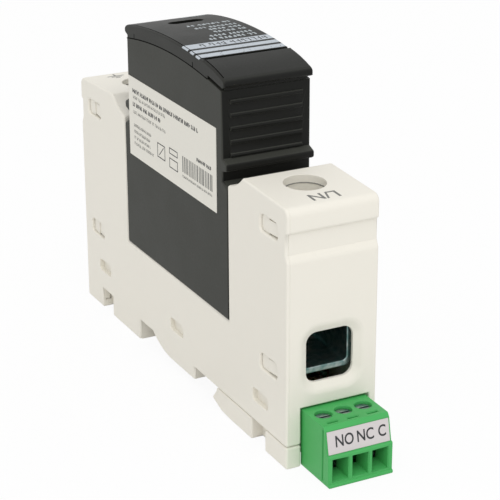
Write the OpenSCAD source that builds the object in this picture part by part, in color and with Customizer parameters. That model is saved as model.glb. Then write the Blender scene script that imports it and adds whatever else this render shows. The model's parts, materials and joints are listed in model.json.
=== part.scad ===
// Pluggable surge arrester for a 35 mm mounting rail: one-module base with
// lift-cage terminals, a removable varistor cartridge and a three-pole
// signalling plug. Origin: middle of the rail seat. X is the width, the plug
// end looks along -Y and +Z points away from the rail.

/* [Base housing] */
// Width of the base across one module
body_w = 18; // [17.5:0.1:19]
// Length of the base along the side view
body_l = 90; // [88:0.5:96]
// Height of the terminal shoulders above the rail seat, at their inner edge
shoulder_h = 44.9; // [44:0.1:47]
// How much the shoulders fall towards their ends
shoulder_fall = 0.65; // [0:0.05:1.2]
// Wall thickness of the base mouldings
wall = 1.6; // [1.4:0.1:1.8]
// Radius of the shoulder's outer edge
shoulder_r = 1.5; // [0.8:0.1:2.5]
// Depth of the foot behind the rail seat
foot_h = 4.4; // [4:0.1:5.5]
// Thickness of the side cover's outer flange
flange_t = 0.6; // [0.4:0.1:0.9]
// Thickness of the side cover behind its flange
cover_t = 1.2; // [0.9:0.1:1.4]
// Gap between the side cover's plug and the rim it sits in
cover_gap = 0.12; // [0.05:0.01:0.25]

/* [Cartridge bay] */
// Length of the bay between the two shoulders
bay_l = 45.5; // [45:0.1:46.5]
// Height of the bay floor above the rail seat
bay_floor = 15.6; // [15.2:0.1:16.5]
// Radius of the finger scoop beside the bay
scoop_r = 10.3; // [9:0.1:11]
// Height of the scoop's edge at the bay
scoop_h = 41.8; // [40.5:0.1:42.5]

/* [End details] */
// Height of the finger groove's upper edge
groove_top = 40; // [38:0.1:41]
// Height of the finger groove
groove_h = 4.1; // [3:0.1:5]
// Depth of the finger groove
groove_d = 0.6; // [0.3:0.05:0.8]
// Width of the wire window
window_w = 9.3; // [8.5:0.1:10]
// Height of the wire window
window_h = 9.5; // [8.5:0.1:10.5]
// Height of the wire window's centre
window_z = 15.85; // [15.5:0.05:16.2]
// Corner radius of the wire window
window_r = 2; // [1:0.1:3]
// Width of the soft edge round the wire window
window_flare = 1.6; // [0.5:0.1:1.8]
// Depth of the soft edge round the wire window
window_flare_d = 0.9; // [0.3:0.05:1]
// Diameter of the screw access hole at the top
access_d = 7.6; // [7:0.1:8.4]
// Distance of the screw axis from the end of the base
access_inset = 10.3; // [9.8:0.1:11]
// Bore of the screw chute under the access hole
chute_d = 7.3; // [7.1:0.1:7.6]
// Wall of the screw chute
chute_wall = 1.2; // [0.9:0.1:1.3]

/* [Side pockets] */
// Length of the snap windows
snap_l = 6.4; // [5.5:0.1:7]
// Height of the snap windows
snap_h = 3.1; // [2.6:0.1:3.6]
// Corner radius of the snap windows
snap_r = 0.9; // [0.5:0.1:1.2]
// Distance of the snap windows from the end of the base
snap_inset = 3.6; // [3:0.1:4.5]
// Height of the lower snap windows' centres
snap_low_z = 13; // [12:0.1:14]
// Height of the upper snap windows' centres
snap_high_z = 39.1; // [38:0.1:39.6]
// Length of the small blind pockets
pocket_l = 5.8; // [4:0.1:7]
// Height of the small blind pockets
pocket_h = 2.5; // [1.5:0.1:3]
// Depth of the small blind pockets
pocket_d = 1; // [0.5:0.1:1.4]
// Corner radius of the small blind pockets
pocket_r = 0.7; // [0.2:0.1:0.7]
// Height of the small blind pockets' centres
pocket_z = 5.25; // [5:0.05:6]
// Distance of the outer blind pockets from the middle
pocket_y = 35; // [33:0.1:36]

/* [Rail fixing] */
// Width of the mounting rail
rail_w = 35; // [34.8:0.1:35.2]
// Thickness of the rail's flange
rail_t = 1; // [1:0.1:1.3]
// Gap between the rail's edge and the fixed hook's wall
rail_gap = 0.1; // [0.05:0.05:0.3]
// Reach of the hook lip and of the clip nose under the rail
hook_reach = 1.9; // [1.2:0.1:2.2]
// Width of the fixed hook lip
hook_w = 10; // [6:0.5:12]
// Drop of the belly that sits in the rail's channel
belly_h = 2.65; // [2:0.05:3]
// Near edge of the belly
belly_y0 = -7.65; // [-9:0.05:-7]
// Start of the belly's curved end
belly_y1 = 2.6; // [1:0.1:3]
// Length of the belly's curved end
belly_run = 8.8; // [7:0.1:9]
// Length of the notch in the foot and in the clip
notch_l = 5.2; // [4:0.1:6]
// Depth of the notch from the side
notch_d = 2.3; // [1.9:0.1:2.6]
// Distance of the notches from the middle
notch_y = 34.2; // [33.5:0.1:34.4]
// Gap between the clip and the base above it
clip_gap = 0.12; // [0.1:0.01:0.2]
// Travel of the clip when it is pulled
clip_travel = 3; // [2.4:0.1:3]
// Wire thickness of the clip spring
spring_wire = 0.5; // [0.4:0.05:0.6]
// Mean diameter of the clip spring
spring_d = 2.2; // [1.8:0.1:2.3]

/* [Terminals] */
// Outer width of the lift cage
cage_w = 10.8; // [10.4:0.1:11]
// Length of the lift cage along the wire
cage_l = 13; // [12:0.1:13.2]
// Distance from the cage's front to the screw axis
cage_front = 8.1; // [7.5:0.1:8.3]
// Height of the open cage's floor
cage_floor = 13.4; // [13:0.1:13.8]
// Thickness of the cage's sides and floor
cage_t = 1.2; // [1:0.1:1.3]
// Clear height inside the cage
cage_clear = 10.6; // [10.4:0.1:11]
// Thickness of the cage's threaded top
cage_top = 3; // [2.5:0.1:3.2]
// Lift of the cage when its screw is driven home
cage_lift = 4.8; // [4:0.1:4.8]
// Diameter of the terminal screw
screw_d = 5; // [4.5:0.1:5]
// Diameter of the terminal screw's head
screw_head_d = 6.8; // [6.4:0.1:6.9]
// Height of the terminal screw's head
screw_head_h = 3; // [2.5:0.1:3.4]
// Radial gap between the screw and the cage's thread
thread_gap = 0.1; // [0.08:0.01:0.15]
// Thickness of the busbars
busbar_t = 1.5; // [1.2:0.1:1.6]
// Width of the busbars
busbar_w = 7.2; // [6:0.1:7.6]
// Height of the busbar's upper run inside the cage
busbar_z = 20.2; // [20:0.1:20.4]

/* [Plug contacts] */
// Distance of the blades from the middle
blade_y = 15; // [14.5:0.1:15.4]
// Width of the cartridge blades
blade_w = 8; // [7:0.1:8.2]
// Thickness of the cartridge blades
blade_t = 1.2; // [1:0.1:1.4]
// Reach of the blades below the bay floor
blade_reach = 9.6; // [8:0.1:10]
// Gap round the blades in their slots
blade_gap = 0.2; // [0.15:0.05:0.3]
// Thickness of the spring fork's leaves
leaf_t = 0.6; // [0.5:0.05:0.7]
// Half width of the spring fork at its root
fork_half = 2.8; // [2.4:0.1:3]

/* [Cartridge] */
// Width of the cartridge
case_w = 17.8; // [17:0.1:17.9]
// Gap between the cartridge and the bay at each end
case_gap = 0.2; // [0.15:0.05:0.3]
// Length of the cartridge above the shoulders
case_l = 41; // [40:0.1:42]
// Wall thickness of the cartridge
case_t = 1.2; // [1:0.1:1.4]
// Height of the arched seam under the cap, at mid length
seam_z = 60.2; // [59:0.1:61]
// Radius of the arched seam
seam_r = 111.5; // [100:0.5:130]
// Height of the cap's side
cap_h = 2.6; // [2.2:0.1:3]
// Thickness of the cap's top
cap_t = 1.4; // [1.2:0.1:1.6]
// Overhang of the cap at each end
cap_lip = 1.1; // [0.6:0.1:1.6]
// Height of the cap's end lip
cap_lip_h = 1.55; // [1.2:0.05:1.8]
// Edge radius of the cap's ends
cap_r = 1; // [0.6:0.1:1.2]
// Rise of the raised plate at the cap's near end
plate_rise = 0.3; // [0.1:0.05:0.5]
// Position of the raised plate's far edge
plate_y = -13.3; // [-15:0.1:-11]
// Width of the groove beside the raised plate
cap_groove_w = 1.4; // [1:0.1:2]
// Depth of the groove beside the raised plate
cap_groove_d = 0.6; // [0.3:0.05:0.8]
// Length of the indicator slot
slot_l = 7.2; // [6:0.1:8]
// Width of the indicator slot
slot_w = 3; // [2:0.1:3.4]
// Sideways position of the indicator slot
slot_x = 0.5; // [-1:0.1:1]
// Position of the indicator slot along the cap
slot_y = 13.6; // [12.8:0.1:14]
// Length of the opening notch over the seam at the near end
cap_notch_l = 5.5; // [4:0.1:7]
// Height of the opening notch
cap_notch_h = 0.7; // [0.4:0.05:0.9]
// Depth of the opening notch
cap_notch_d = 0.7; // [0.4:0.05:0.9]
// Number of grip ribs on each end
rib_count = 5; // [3:1:6]
// Pitch of the grip ribs
rib_pitch = 2.47; // [2.2:0.01:2.5]
// Height of the lowest grip rib
rib_z = 46.35; // [46.3:0.05:47]
// Length of the grip ribs
rib_l = 14.4; // [12:0.1:15]
// Radius of the grip ribs
rib_r = 0.42; // [0.3:0.02:0.5]
// Length of the side label
label_l = 38.4; // [36:0.1:39]
// Height of the side label
label_h = 16; // [14:0.1:17]
// Position of the side label along the length
label_y = 0.9; // [0:0.1:1]
// Height of the side label's centre
label_z = 43.1; // [42:0.1:44]

/* [Inside the cartridge] */
// Length of the varistor block
varistor_l = 32; // [28:0.5:33]
// Height of the varistor block
varistor_h = 28; // [24:0.5:29]
// Thickness of the varistor block
varistor_t = 8; // [7:0.1:8.4]
// Height of the varistor's lower edge
varistor_z = 24; // [23.5:0.1:25]
// Thickness of the soldered tabs
tab_t = 0.6; // [0.5:0.05:0.7]
// Travel of the trip slide
trip_travel = 6; // [5:0.1:6.5]
// Width of the trip slide's plate
slide_t = 2.2; // [1.8:0.1:2.3]

/* [Signalling plug] */
// Pitch of the plug's poles
pole_pitch = 3.96; // [3.81:0.01:4]
// Side wall beyond the outer poles
plug_side = 0.5; // [0.4:0.05:0.6]
// Sideways position of the plug's middle
plug_x = 0.68; // [0.5:0.02:0.68]
// Height of the plug's top above the rail seat
plug_top = 6.67; // [6.5:0.01:6.8]
// Gap between the plug's underside and the foot plane
plug_lift = 0.1; // [0.05:0.05:0.3]
// Reach of the plug in front of the base
plug_reach = 9.6; // [9:0.1:10.5]
// Gap between the plug and the opening in the base
plug_gap = 0.25; // [0.2:0.01:0.28]
// Half width of the plug's mating nose
nose_half = 5.6; // [5.4:0.05:5.65]
// Height of the plug's mating nose
nose_h = 4.6; // [4.4:0.1:4.7]
// Length of the plug's mating nose
nose_l = 6; // [5:0.1:6.2]
// Height of the pins
pin_z = 3.4; // [3.35:0.05:3.5]
// Thickness of the square pins
pin_t = 1; // [0.8:0.05:1]
// Wall of the header's shroud
shroud_t = 0.85; // [0.7:0.05:0.88]
// Gap between the plug's nose and the shroud
nose_gap = 0.15; // [0.1:0.01:0.18]
// Diameter of the plug's clamp screws
plug_screw_d = 2; // [1.8:0.1:2.2]
// Head diameter of the plug's clamp screws
plug_head_d = 2.9; // [2.6:0.05:2.95]
// Bore over the plug's clamp screws
plug_bore_d = 3.1; // [3:0.05:3.2]
// Width of the wire entries
entry_w = 3.15; // [2.9:0.05:3.2]
// Height of the wire entries
entry_h = 4.3; // [4:0.1:4.5]

/* [Hidden] */
$fn = 48;
half_w = body_w / 2;
half_l = body_l / 2;
bay_half = bay_l / 2;
end_top = shoulder_h - shoulder_fall;
inner_x = half_w - wall;
cover_x = -half_w + flange_t;
cover_in_x = cover_x + cover_t;
over = 0.5;
sliver = 0.05;
tip_gap = 0.1;
pin_gap = 0.05;
snap_gap = 0.35;
snap_arm_t = 1.2;
barb_l = snap_l * 0.58;

// Scoop: tangent to the bay edge at a shallow slope
scoop_slope = 10;
scoop_y = bay_half - scoop_r * sin(scoop_slope);
scoop_z = scoop_h + scoop_r * cos(scoop_slope);
shoulder_edge = scoop_y + sqrt(pow(scoop_r, 2) - pow(scoop_z - shoulder_h, 2));

// Centre of the shoulder's outer edge, tangent to the fall and to the end face
fall_angle = atan(shoulder_fall / (half_l - shoulder_edge));
round_z = end_top + shoulder_r * (tan(fall_angle) - 1 / cos(fall_angle));

// Rail seat
hook_y = rail_w / 2 + rail_gap;
hook_lean = 0.4;
belly_r = (pow(belly_run, 2) + pow(belly_h, 2)) / (2 * belly_h);

// Screw axis and terminal stack
screw_y = -half_l + access_inset;
cage_y0 = screw_y - cage_front;
cage_z0 = cage_floor - cage_t;
cage_z1 = cage_floor + cage_clear;
head_gap = 0.4;
head_z = cage_z1 + cage_top + cage_lift + head_gap;
chute_z = head_z + tip_gap;
recess_w = 1;
recess_d = 1.4;
step_z = shoulder_h - wall;

// Signalling plug and the header behind it
poles = [-1, 0, 1];
end_gap = 0.3;
plug_half = pole_pitch * 1.5 + plug_side;
plug_x0 = plug_x - plug_half;
plug_x1 = plug_x + plug_half;
plug_way = [plug_x0 - plug_gap, plug_x1 + plug_gap];
plug_seat = 0.8;
plug_back = -half_l + plug_seat;
plug_front = -half_l - plug_reach;
plug_bottom = -foot_h + plug_lift;
nose_z0 = pin_z - nose_h / 2;
nose_end = plug_back + nose_l;
shroud_back = nose_end + end_gap;
header_end = shroud_back + 1.5;
lead_y = header_end + 3;
plug_screw_y = -half_l - 2.9;
entry_z = -1.15;
throat_run = 3;
chamber_y = [plug_screw_y - 2.4, plug_screw_y + 2.6];
chamber_z = [-3.5, 5];
chamber_half = 1.65;
clamp_half = 1.5;
clamp_y = [plug_screw_y - 2, plug_screw_y + 1.9];
clamp_z = [-3.3, -2.6, 2.1, 2.9];
tongue_z = 1.1;
contact_t = 0.3;
strip_t = 0.15;
strip_set = [0.95, 1.8];
strip_p0 = [plug_front + strip_set[0], 1.75];
strip_p1 = [plug_front + strip_set[1], 5.8];

// Rail clip
clip_top = -clip_gap;
nose_bite = 0.2;
clip_nose_y = -rail_w / 2 + nose_bite;
clip_tip_y = clip_nose_y + hook_reach;
clip_tip_z = -rail_t - hook_reach;
heel_run = [7.6, 4.1];
fork_end = plug_back + end_gap + clip_travel + over;
tongue_l = 4;
tongue_y0 = lead_y + 0.2;
tongue_y = [tongue_y0, tongue_y0 + tongue_l];
tongue_stem = 2;
tongue_head = 3.6;
tongue_gap = 0.25;
tongue_h = 0.85;
peg_t = 1.2;
peg_y = [tongue_y[1] + peg_t, tongue_y[1] + 2 * peg_t];
peg_half = 1.9;
pouch_wall = 1.6;
pouch_y = [peg_y[0] - 0.2, clip_nose_y - pouch_wall];
pouch_half = 2.2;
pouch_floor = 0.9;
spring_turns = 4.5;
spring_z = -(foot_h - pouch_floor + clip_gap) / 2;

// Cartridge
case_half = case_w / 2;
low_half = bay_half - case_gap;
top_half = case_l / 2;
seam_c = seam_z - seam_r;
cap_top_r = seam_r + cap_h;
lip_half = top_half + cap_lip;
function arc_z(radius, y) = seam_c + sqrt(pow(radius, 2) - pow(y, 2));
lip_top = arc_z(cap_top_r, lip_half) + 0.1;
lip_z = lip_top - cap_lip_h;
case_floor = bay_floor + case_t;
ridge_z = [43.5, 44.05, 45.3, 45.95];
ridge_out = 1.7;
pin_bore_d = 3.4;
pin_bore_h = 4.2;
plunger_d = 2.4;
plunger_rise = 1.6;
plunger_travel = 1.2;
jog_z = varistor_z - 3;
face_tab_w = 8;
line_tab_h = 16;
link_h = 22;

// Trip slide
ledge_z = 28.6;
ledge_h = 1;
slide_x1 = case_half - case_t - 0.3;
slide_y = [-2, 11.4];
slide_top = 59.4;
flag_t = 0.8;
flag_y = [3, 11.4];
flag_x = -3.4;
rib_y = [-9.2, -8];
trip_spring_z = 40;
trip_spring_d = 1.7;
trip_spring_wire = 0.4;

// Switch and leads
switch_half = [2.9, 6.4];
switch_h = 6.4;
switch_top = bay_floor - wall - end_gap;
switch_z = [switch_top - switch_h, switch_top];
plunger_well = switch_top - 3;
post_t = 1.2;
terminal_y = [-4, 0, 4];
lead_x = 5;
lead_t = 1;
lead_pitch = 1.3;
lead_z0 = switch_z[0] - tip_gap - 2 * lead_pitch - lead_t;

housing_colour = [0.88, 0.86, 0.82];
cartridge_colour = [0.24, 0.24, 0.23];
cap_colour = [0.17, 0.17, 0.165];
green_colour = [0.33, 0.66, 0.4];
copper_colour = [0.8, 0.52, 0.32];
zinc_colour = [0.62, 0.64, 0.65];
black_colour = [0.1, 0.1, 0.1];

// Extrusions of side views, end views and boxes given by their limits

module along_x(x0, x1) {
    translate([x0, 0, 0]) rotate([90, 0, 90]) linear_extrude(x1 - x0) children();
}

module along_y(y0, y1) {
    translate([0, y1, 0]) rotate([90, 0, 0]) linear_extrude(y1 - y0) children();
}

module span_box(x, y, z) {
    translate([x[0], y[0], z[0]]) cube([x[1] - x[0], y[1] - y[0], z[1] - z[0]]);
}

module span_rect(u, v) {
    translate([u[0], v[0]]) square([u[1] - u[0], v[1] - v[0]]);
}

module round_rect(w, h, r) {
    square([w - 2 * r, h], center = true);
    square([w, h - 2 * r], center = true);
    for (sx = [-1, 1], sy = [-1, 1])
        translate([sx * (w / 2 - r), sy * (h / 2 - r)]) circle(r);
}

module rod(d, z0, z1) {
    translate([0, 0, z0]) cylinder(d = d, h = z1 - z0);
}

module both_ends() {
    children();
    mirror([0, 1, 0]) children();
}

// A coil spring along Y, swept as one closed tube
module coil(diameter, wire, length, turns) {
    sides = 8;
    steps = 14;
    rings = round(turns * steps);
    rise = length - wire;
    function ring_point(i, k) = let (
        turn = 360 * i / steps,
        round_wire = 360 * k / sides,
        radius = diameter / 2 + wire / 2 * cos(round_wire)
    ) [radius * cos(turn), wire / 2 + rise * i / rings + wire / 2 * sin(round_wire), radius * sin(turn)];
    points = [for (i = [0:rings], k = [0:sides - 1]) ring_point(i, k)];
    skin = [for (i = [0:rings - 1], k = [0:sides - 1]) let (n = (k + 1) % sides)
        [i * sides + k, i * sides + n, (i + 1) * sides + n, (i + 1) * sides + k]];
    first = [for (k = [sides - 1:-1:0]) k];
    last = [for (k = [0:sides - 1]) rings * sides + k];
    polyhedron(points, concat([first], skin, [last]), convexity = 8);
}

// Base

// Side view of the base, with all its edges drawn in by an inset
module body_outline(inset = 0) {
    difference() {
        union() {
            polygon([
                [-half_l + inset, inset],
                [half_l - inset, inset],
                [half_l - inset, end_top - inset],
                [shoulder_edge, shoulder_h - inset],
                [-shoulder_edge, shoulder_h - inset],
                [-half_l + inset, end_top - inset]]);
            polygon([
                [hook_y + inset, inset + over],
                [hook_y + hook_lean + inset, -foot_h + inset],
                [half_l - inset, -foot_h + inset],
                [half_l - inset, inset + over]]);
            intersection() {
                span_rect([belly_y0 + inset, belly_y1 + belly_r], [-belly_h + inset, inset + over]);
                union() {
                    span_rect([belly_y0, belly_y1], [-foot_h, foot_h]);
                    translate([belly_y1, belly_r - belly_h]) circle(belly_r - inset, $fn = 128);
                }
            }
        }
        span_rect([-bay_half - inset, bay_half + inset], [bay_floor - inset, 2 * shoulder_h]);
        for (side = [-1, 1])
            translate([side * scoop_y, scoop_z]) circle(scoop_r + inset, $fn = 96);
    }
}

// Rounded shoulder edge and finger groove, as seen from the side
module end_trim() {
    reach = shoulder_r + over;
    translate([-half_l + shoulder_r, round_z]) difference() {
        polygon([
            [0, 0],
            [-reach, 0],
            [-reach, reach],
            [-reach * sin(fall_angle), reach * cos(fall_angle)]]);
        circle(shoulder_r);
    }
    polygon([
        [-half_l - over, groove_top],
        [-half_l, groove_top],
        [-half_l + groove_d, groove_top - groove_d / 2],
        [-half_l + groove_d, groove_top - groove_h],
        [-half_l, groove_top - groove_h - 2 * groove_d],
        [-half_l - over, groove_top - groove_h - 2 * groove_d]]);
}

module outer_outline() {
    difference() {
        body_outline();
        end_trim();
        mirror([1, 0]) end_trim();
    }
}

module screw_chute() {
    translate([0, screw_y, 0]) rod(chute_d + 2 * chute_wall, chute_z, step_z + wall / 2);
}

module access_cut() {
    translate([0, screw_y, 0]) {
        rod(chute_d, chute_z - over, step_z + over);
        rod(access_d, step_z, shoulder_h + over);
    }
}

module window_cut() {
    along_y(-half_l - over, -half_l + wall + over)
        translate([0, window_z]) round_rect(window_w, window_h, window_r);
    wide = 2 * window_flare;
    hull() {
        along_y(-half_l - sliver, -half_l)
            translate([0, window_z])
                round_rect(window_w + wide, window_h + wide, window_r + window_flare, $fn = 32);
        along_y(-half_l + window_flare_d, -half_l + window_flare_d + sliver)
            translate([0, window_z]) round_rect(window_w, window_h, window_r, $fn = 32);
    }
}

// Side view of a snap window, drawn in by an inset
module snap_outline(z, inset = 0) {
    translate([-half_l + snap_inset + snap_l / 2, z])
        round_rect(snap_l - 2 * inset, snap_h - 2 * inset, snap_r - inset);
}

// Spring arm from the end wall with a sloping barb that stands in a snap window,
// at its outer end or at the arm's tip
module snap_tab(z, at_tip) {
    arm_x = [cover_in_x + cover_gap, cover_in_x + cover_gap + snap_arm_t];
    y0 = -half_l + snap_inset;
    y1 = y0 + snap_l - 2 * snap_gap;
    barb_y0 = at_tip ? y0 + snap_l - barb_l : y0;
    span_box(arm_x, [-half_l + wall - over, y1], [z - snap_h / 2 + snap_gap, z + snap_h / 2 - snap_gap]);
    intersection() {
        along_x(-half_w, arm_x[0] + over) snap_outline(z, snap_gap);
        translate([0, 0, z - snap_h / 2]) linear_extrude(snap_h) polygon([
            [arm_x[0] + over, barb_y0 + barb_l],
            [-half_w + snap_gap, barb_y0 + barb_l],
            [-half_w + 2 * snap_gap, barb_y0],
            [arm_x[0] + over, barb_y0]]);
    }
}

// Through window for a barb, cut in the side cover
module snap_window(z) {
    along_x(-half_w - over, cover_in_x + over) snap_outline(z);
}

module notch_cut(y) {
    span_box([-half_w - over, -half_w + notch_d], [y - notch_l / 2, y + notch_l / 2],
        [-foot_h - over, clip_top]);
}

// Wedge lip that goes under the rail's far flange
module hook_lip() {
    tip = hook_y - hook_reach;
    along_x(-hook_w / 2, hook_w / 2) polygon([
        [hook_y + over, -rail_t - 0.2],
        [hook_y, -rail_t - 0.2],
        [tip, -rail_t - hook_reach * 0.8],
        [tip, -rail_t - hook_reach],
        [hook_y + over, -foot_h]]);
}

module blade_slots(half_t) {
    for (side = [-1, 1])
        span_box([-half_t - blade_gap, half_t + blade_gap],
            [side * blade_y - blade_w / 2 - blade_gap, side * blade_y + blade_w / 2 + blade_gap],
            [bay_floor - wall - over, case_floor + over]);
}

module base_shell() {
    color(housing_colour) difference() {
        union() {
            difference() {
                along_x(cover_x, half_w) outer_outline();
                along_x(cover_x - over, inner_x) body_outline(wall);
            }
            both_ends() screw_chute();
            for (z = [snap_low_z, snap_high_z]) {
                snap_tab(z, false);
                mirror([0, 1, 0]) snap_tab(z, true);
            }
            hook_lip();
            // Solid corner behind the foot's notch
            span_box([cover_in_x + cover_gap, -half_w + notch_d + wall],
                [notch_y - notch_l / 2 - wall, notch_y + notch_l / 2 + wall], [-foot_h + wall / 2, wall]);
            // Stop for the clip spring
            span_box([-peg_half, peg_half], peg_y, [-foot_h + pouch_floor + clip_gap, wall / 2]);
            // Posts under the ends of the switch
            along_x(-switch_half[0], switch_half[0]) intersection() {
                body_outline(wall / 2);
                for (side = [-1, 1])
                    translate([side * (switch_half[1] - post_t / 2), 0])
                        span_rect([-post_t / 2, post_t / 2], [-foot_h, switch_z[0]]);
            }
        }
        both_ends() access_cut();
        both_ends() window_cut();
        notch_cut(notch_y);
        // Opening for the plug and the shroud behind it
        span_box(plug_way, [-half_l - over, header_end + tip_gap], [-over, wall + over]);
        span_box(plug_way, [-half_l - over, -half_l + wall + over], [-over, plug_top + plug_gap]);
        blade_slots(blade_t / 2 + blade_gap);
        rod(plunger_d + 0.6, bay_floor - wall - over, bay_floor + over);
        // Way for the clip's tongue
        span_box([-tongue_stem - tongue_gap, tongue_stem + tongue_gap],
            [tongue_y[0] - clip_travel - tongue_gap, tongue_y[1] + tongue_gap], [-over, wall + over]);
    }
}

module base_cover() {
    color(housing_colour) difference() {
        union() {
            along_x(-half_w, cover_x) outer_outline();
            along_x(cover_x - over / 2, cover_in_x) body_outline(wall + cover_gap);
        }
        for (z = [snap_low_z, snap_high_z]) both_ends() snap_window(z);
        for (y = [-pocket_y, 0, pocket_y])
            along_x(-half_w - over, -half_w + pocket_d)
                translate([y, pocket_z]) round_rect(pocket_l, pocket_h, pocket_r);
        notch_cut(notch_y);
    }
}

// Sliding foot that grips the near flange of the rail
module rail_clip() {
    color(housing_colour) union() {
        difference() {
            along_x(-half_w, half_w) polygon([
                [-half_l, -foot_h],
                [clip_tip_y - heel_run[0], -foot_h],
                [clip_tip_y - heel_run[1], -foot_h + 0.2],
                [clip_tip_y, clip_tip_z],
                [clip_nose_y, -rail_t + 0.3],
                [clip_nose_y, clip_top],
                [-half_l, clip_top]]);
            span_box(plug_way, [-half_l - over, fork_end], [-foot_h - over, over]);
            notch_cut(-notch_y);
            span_box([-pouch_half, pouch_half], pouch_y, [-foot_h + pouch_floor, over]);
        }
        span_box([-tongue_stem, tongue_stem], tongue_y, [clip_top - over, wall + tongue_gap + tongue_h]);
        span_box([-tongue_head, tongue_head], tongue_y, [wall + tongue_gap, wall + tongue_gap + tongue_h]);
    }
}

module clip_spring() {
    color(zinc_colour) translate([0, peg_y[1], spring_z])
        coil(spring_d, spring_wire, pouch_y[1] - peg_y[1], spring_turns);
}

// Terminals

module lift_cage() {
    mid_z = (cage_z0 + cage_z1 + cage_top) / 2;
    color(zinc_colour) difference() {
        along_y(cage_y0, cage_y0 + cage_l) difference() {
            translate([0, mid_z]) round_rect(cage_w, cage_z1 + cage_top - cage_z0, 1.5);
            translate([0, cage_floor + cage_clear / 2]) round_rect(cage_w - 2 * cage_t, cage_clear, 0.8);
        }
        translate([0, screw_y, 0]) rod(screw_d + 2 * thread_gap, cage_z1 - over, cage_z1 + cage_top + over);
    }
}

module terminal_screw() {
    tip_z = busbar_z + busbar_t + tip_gap;
    color(zinc_colour) translate([0, screw_y, 0]) difference() {
        union() {
            rod(screw_d, tip_z, head_z + over);
            rod(screw_head_d, head_z, head_z + screw_head_h);
        }
        for (turn = [0, 90])
            rotate([0, 0, turn])
                span_box([-screw_head_d * 0.36, screw_head_d * 0.36], [-recess_w / 2, recess_w / 2],
                    [head_z + screw_head_h - recess_d, head_z + screw_head_h + over]);
    }
}

// Strip from the cage along the bay wall to the spring fork
module busbar() {
    back = -bay_half - wall;
    front = cage_y0 + 0.8;
    fork_y = -blade_y + blade_w / 2;
    color(copper_colour) along_x(-busbar_w / 2, busbar_w / 2) polygon([
        [front, busbar_z],
        [back - busbar_t, busbar_z],
        [back - busbar_t, wall],
        [fork_y, wall],
        [fork_y, wall + busbar_t],
        [back, wall + busbar_t],
        [back, busbar_z + busbar_t],
        [front, busbar_z + busbar_t]]);
}

// Spring fork that takes one blade of the cartridge
module spring_fork() {
    z0 = wall + busbar_t;
    bend_z = z0 + 3;
    pinch = blade_t / 2 + 0.1;
    pinch_z = bay_floor - 6.4;
    flare = 1.1;
    top_z = bay_floor - wall - 0.6;
    leaf = [
        [fork_half, z0],
        [fork_half, bend_z],
        [pinch + leaf_t, pinch_z],
        [pinch + leaf_t + flare, top_z],
        [pinch + flare, top_z],
        [pinch, pinch_z],
        [fork_half - leaf_t, bend_z],
        [fork_half - leaf_t, z0 + leaf_t]];
    other_leaf = [for (i = [len(leaf) - 1:-1:0]) [-leaf[i][0], leaf[i][1]]];
    color(copper_colour) along_y(-blade_y - blade_w / 2, -blade_y + blade_w / 2)
        polygon(concat(leaf, other_leaf));
}

module line_cage() { lift_cage(); }
module line_screw() { terminal_screw(); }
module line_busbar() { busbar(); }
module line_contact() { spring_fork(); }
module earth_cage() { mirror([0, 1, 0]) lift_cage(); }
module earth_screw() { mirror([0, 1, 0]) terminal_screw(); }
module earth_busbar() { mirror([0, 1, 0]) busbar(); }
module earth_contact() { mirror([0, 1, 0]) spring_fork(); }

// Remote signalling

module signal_switch() {
    color(black_colour) difference() {
        span_box([-switch_half[0], switch_half[0]], [-switch_half[1], switch_half[1]], switch_z);
        rod(plunger_d + 0.4, plunger_well, switch_top + over);
    }
}

module switch_plunger() {
    color(zinc_colour) rod(plunger_d, plunger_well + plunger_travel + end_gap, bay_floor + plunger_rise);
}

// Three flat leads from the switch to the pins, stacked so that they pass each other
module signal_leads() {
    color(copper_colour) for (i = [0:2]) {
        z = [lead_z0 + i * lead_pitch, lead_z0 + i * lead_pitch + lead_t];
        y = terminal_y[i];
        pole_x = plug_x + poles[i] * pole_pitch;
        across = [y - lead_t / 2, y + lead_t / 2];
        span_box([-lead_t / 2, lead_t / 2], across, [z[0], max(switch_z[0], z[1])]);
        span_box([0, lead_x + lead_t], across, z);
        span_box([lead_x, lead_x + lead_t], [lead_y, y + lead_t / 2], z);
        span_box([pole_x - lead_t / 2, lead_x + lead_t], [lead_y, lead_y + lead_t], z);
    }
}

module signal_header() {
    outer_half = nose_half + nose_gap + shroud_t;
    foot_y = [header_end - over, lead_y - 0.2];
    foot_z = [wall, pin_z - pin_t / 2 - tip_gap];
    pin_hole = [-pin_t / 2 - pin_gap, pin_t / 2 + pin_gap];
    color(green_colour) difference() {
        union() {
            span_box([plug_x - outer_half, plug_x + outer_half], [plug_back + 0.2, header_end],
                [nose_z0 - nose_gap - shroud_t, nose_z0 + nose_h + nose_gap + shroud_t]);
            // Feet on the base's floor, either side of the clip's tongue
            span_box([plug_x - outer_half, -tongue_head - over], foot_y, foot_z);
            span_box([tongue_head + over, plug_x + outer_half], foot_y, foot_z);
        }
        span_box([plug_x - nose_half - nose_gap, plug_x + nose_half + nose_gap],
            [plug_back - over, shroud_back], [nose_z0 - nose_gap, nose_z0 + nose_h + nose_gap]);
        for (pole = poles)
            translate([plug_x + pole * pole_pitch, 0, pin_z])
                span_box(pin_hole, [shroud_back - over, header_end + over], pin_hole);
    }
}

module header_pins() {
    color(zinc_colour) for (i = [0:2]) {
        pole_x = plug_x + poles[i] * pole_pitch;
        x = [pole_x - pin_t / 2, pole_x + pin_t / 2];
        top = lead_z0 + i * lead_pitch + lead_t;
        span_box(x, [nose_end - 3.8, lead_y], [pin_z - pin_t / 2, pin_z + pin_t / 2]);
        span_box(x, [lead_y - lead_t, lead_y], [pin_z - pin_t / 2, top]);
    }
}

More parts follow.
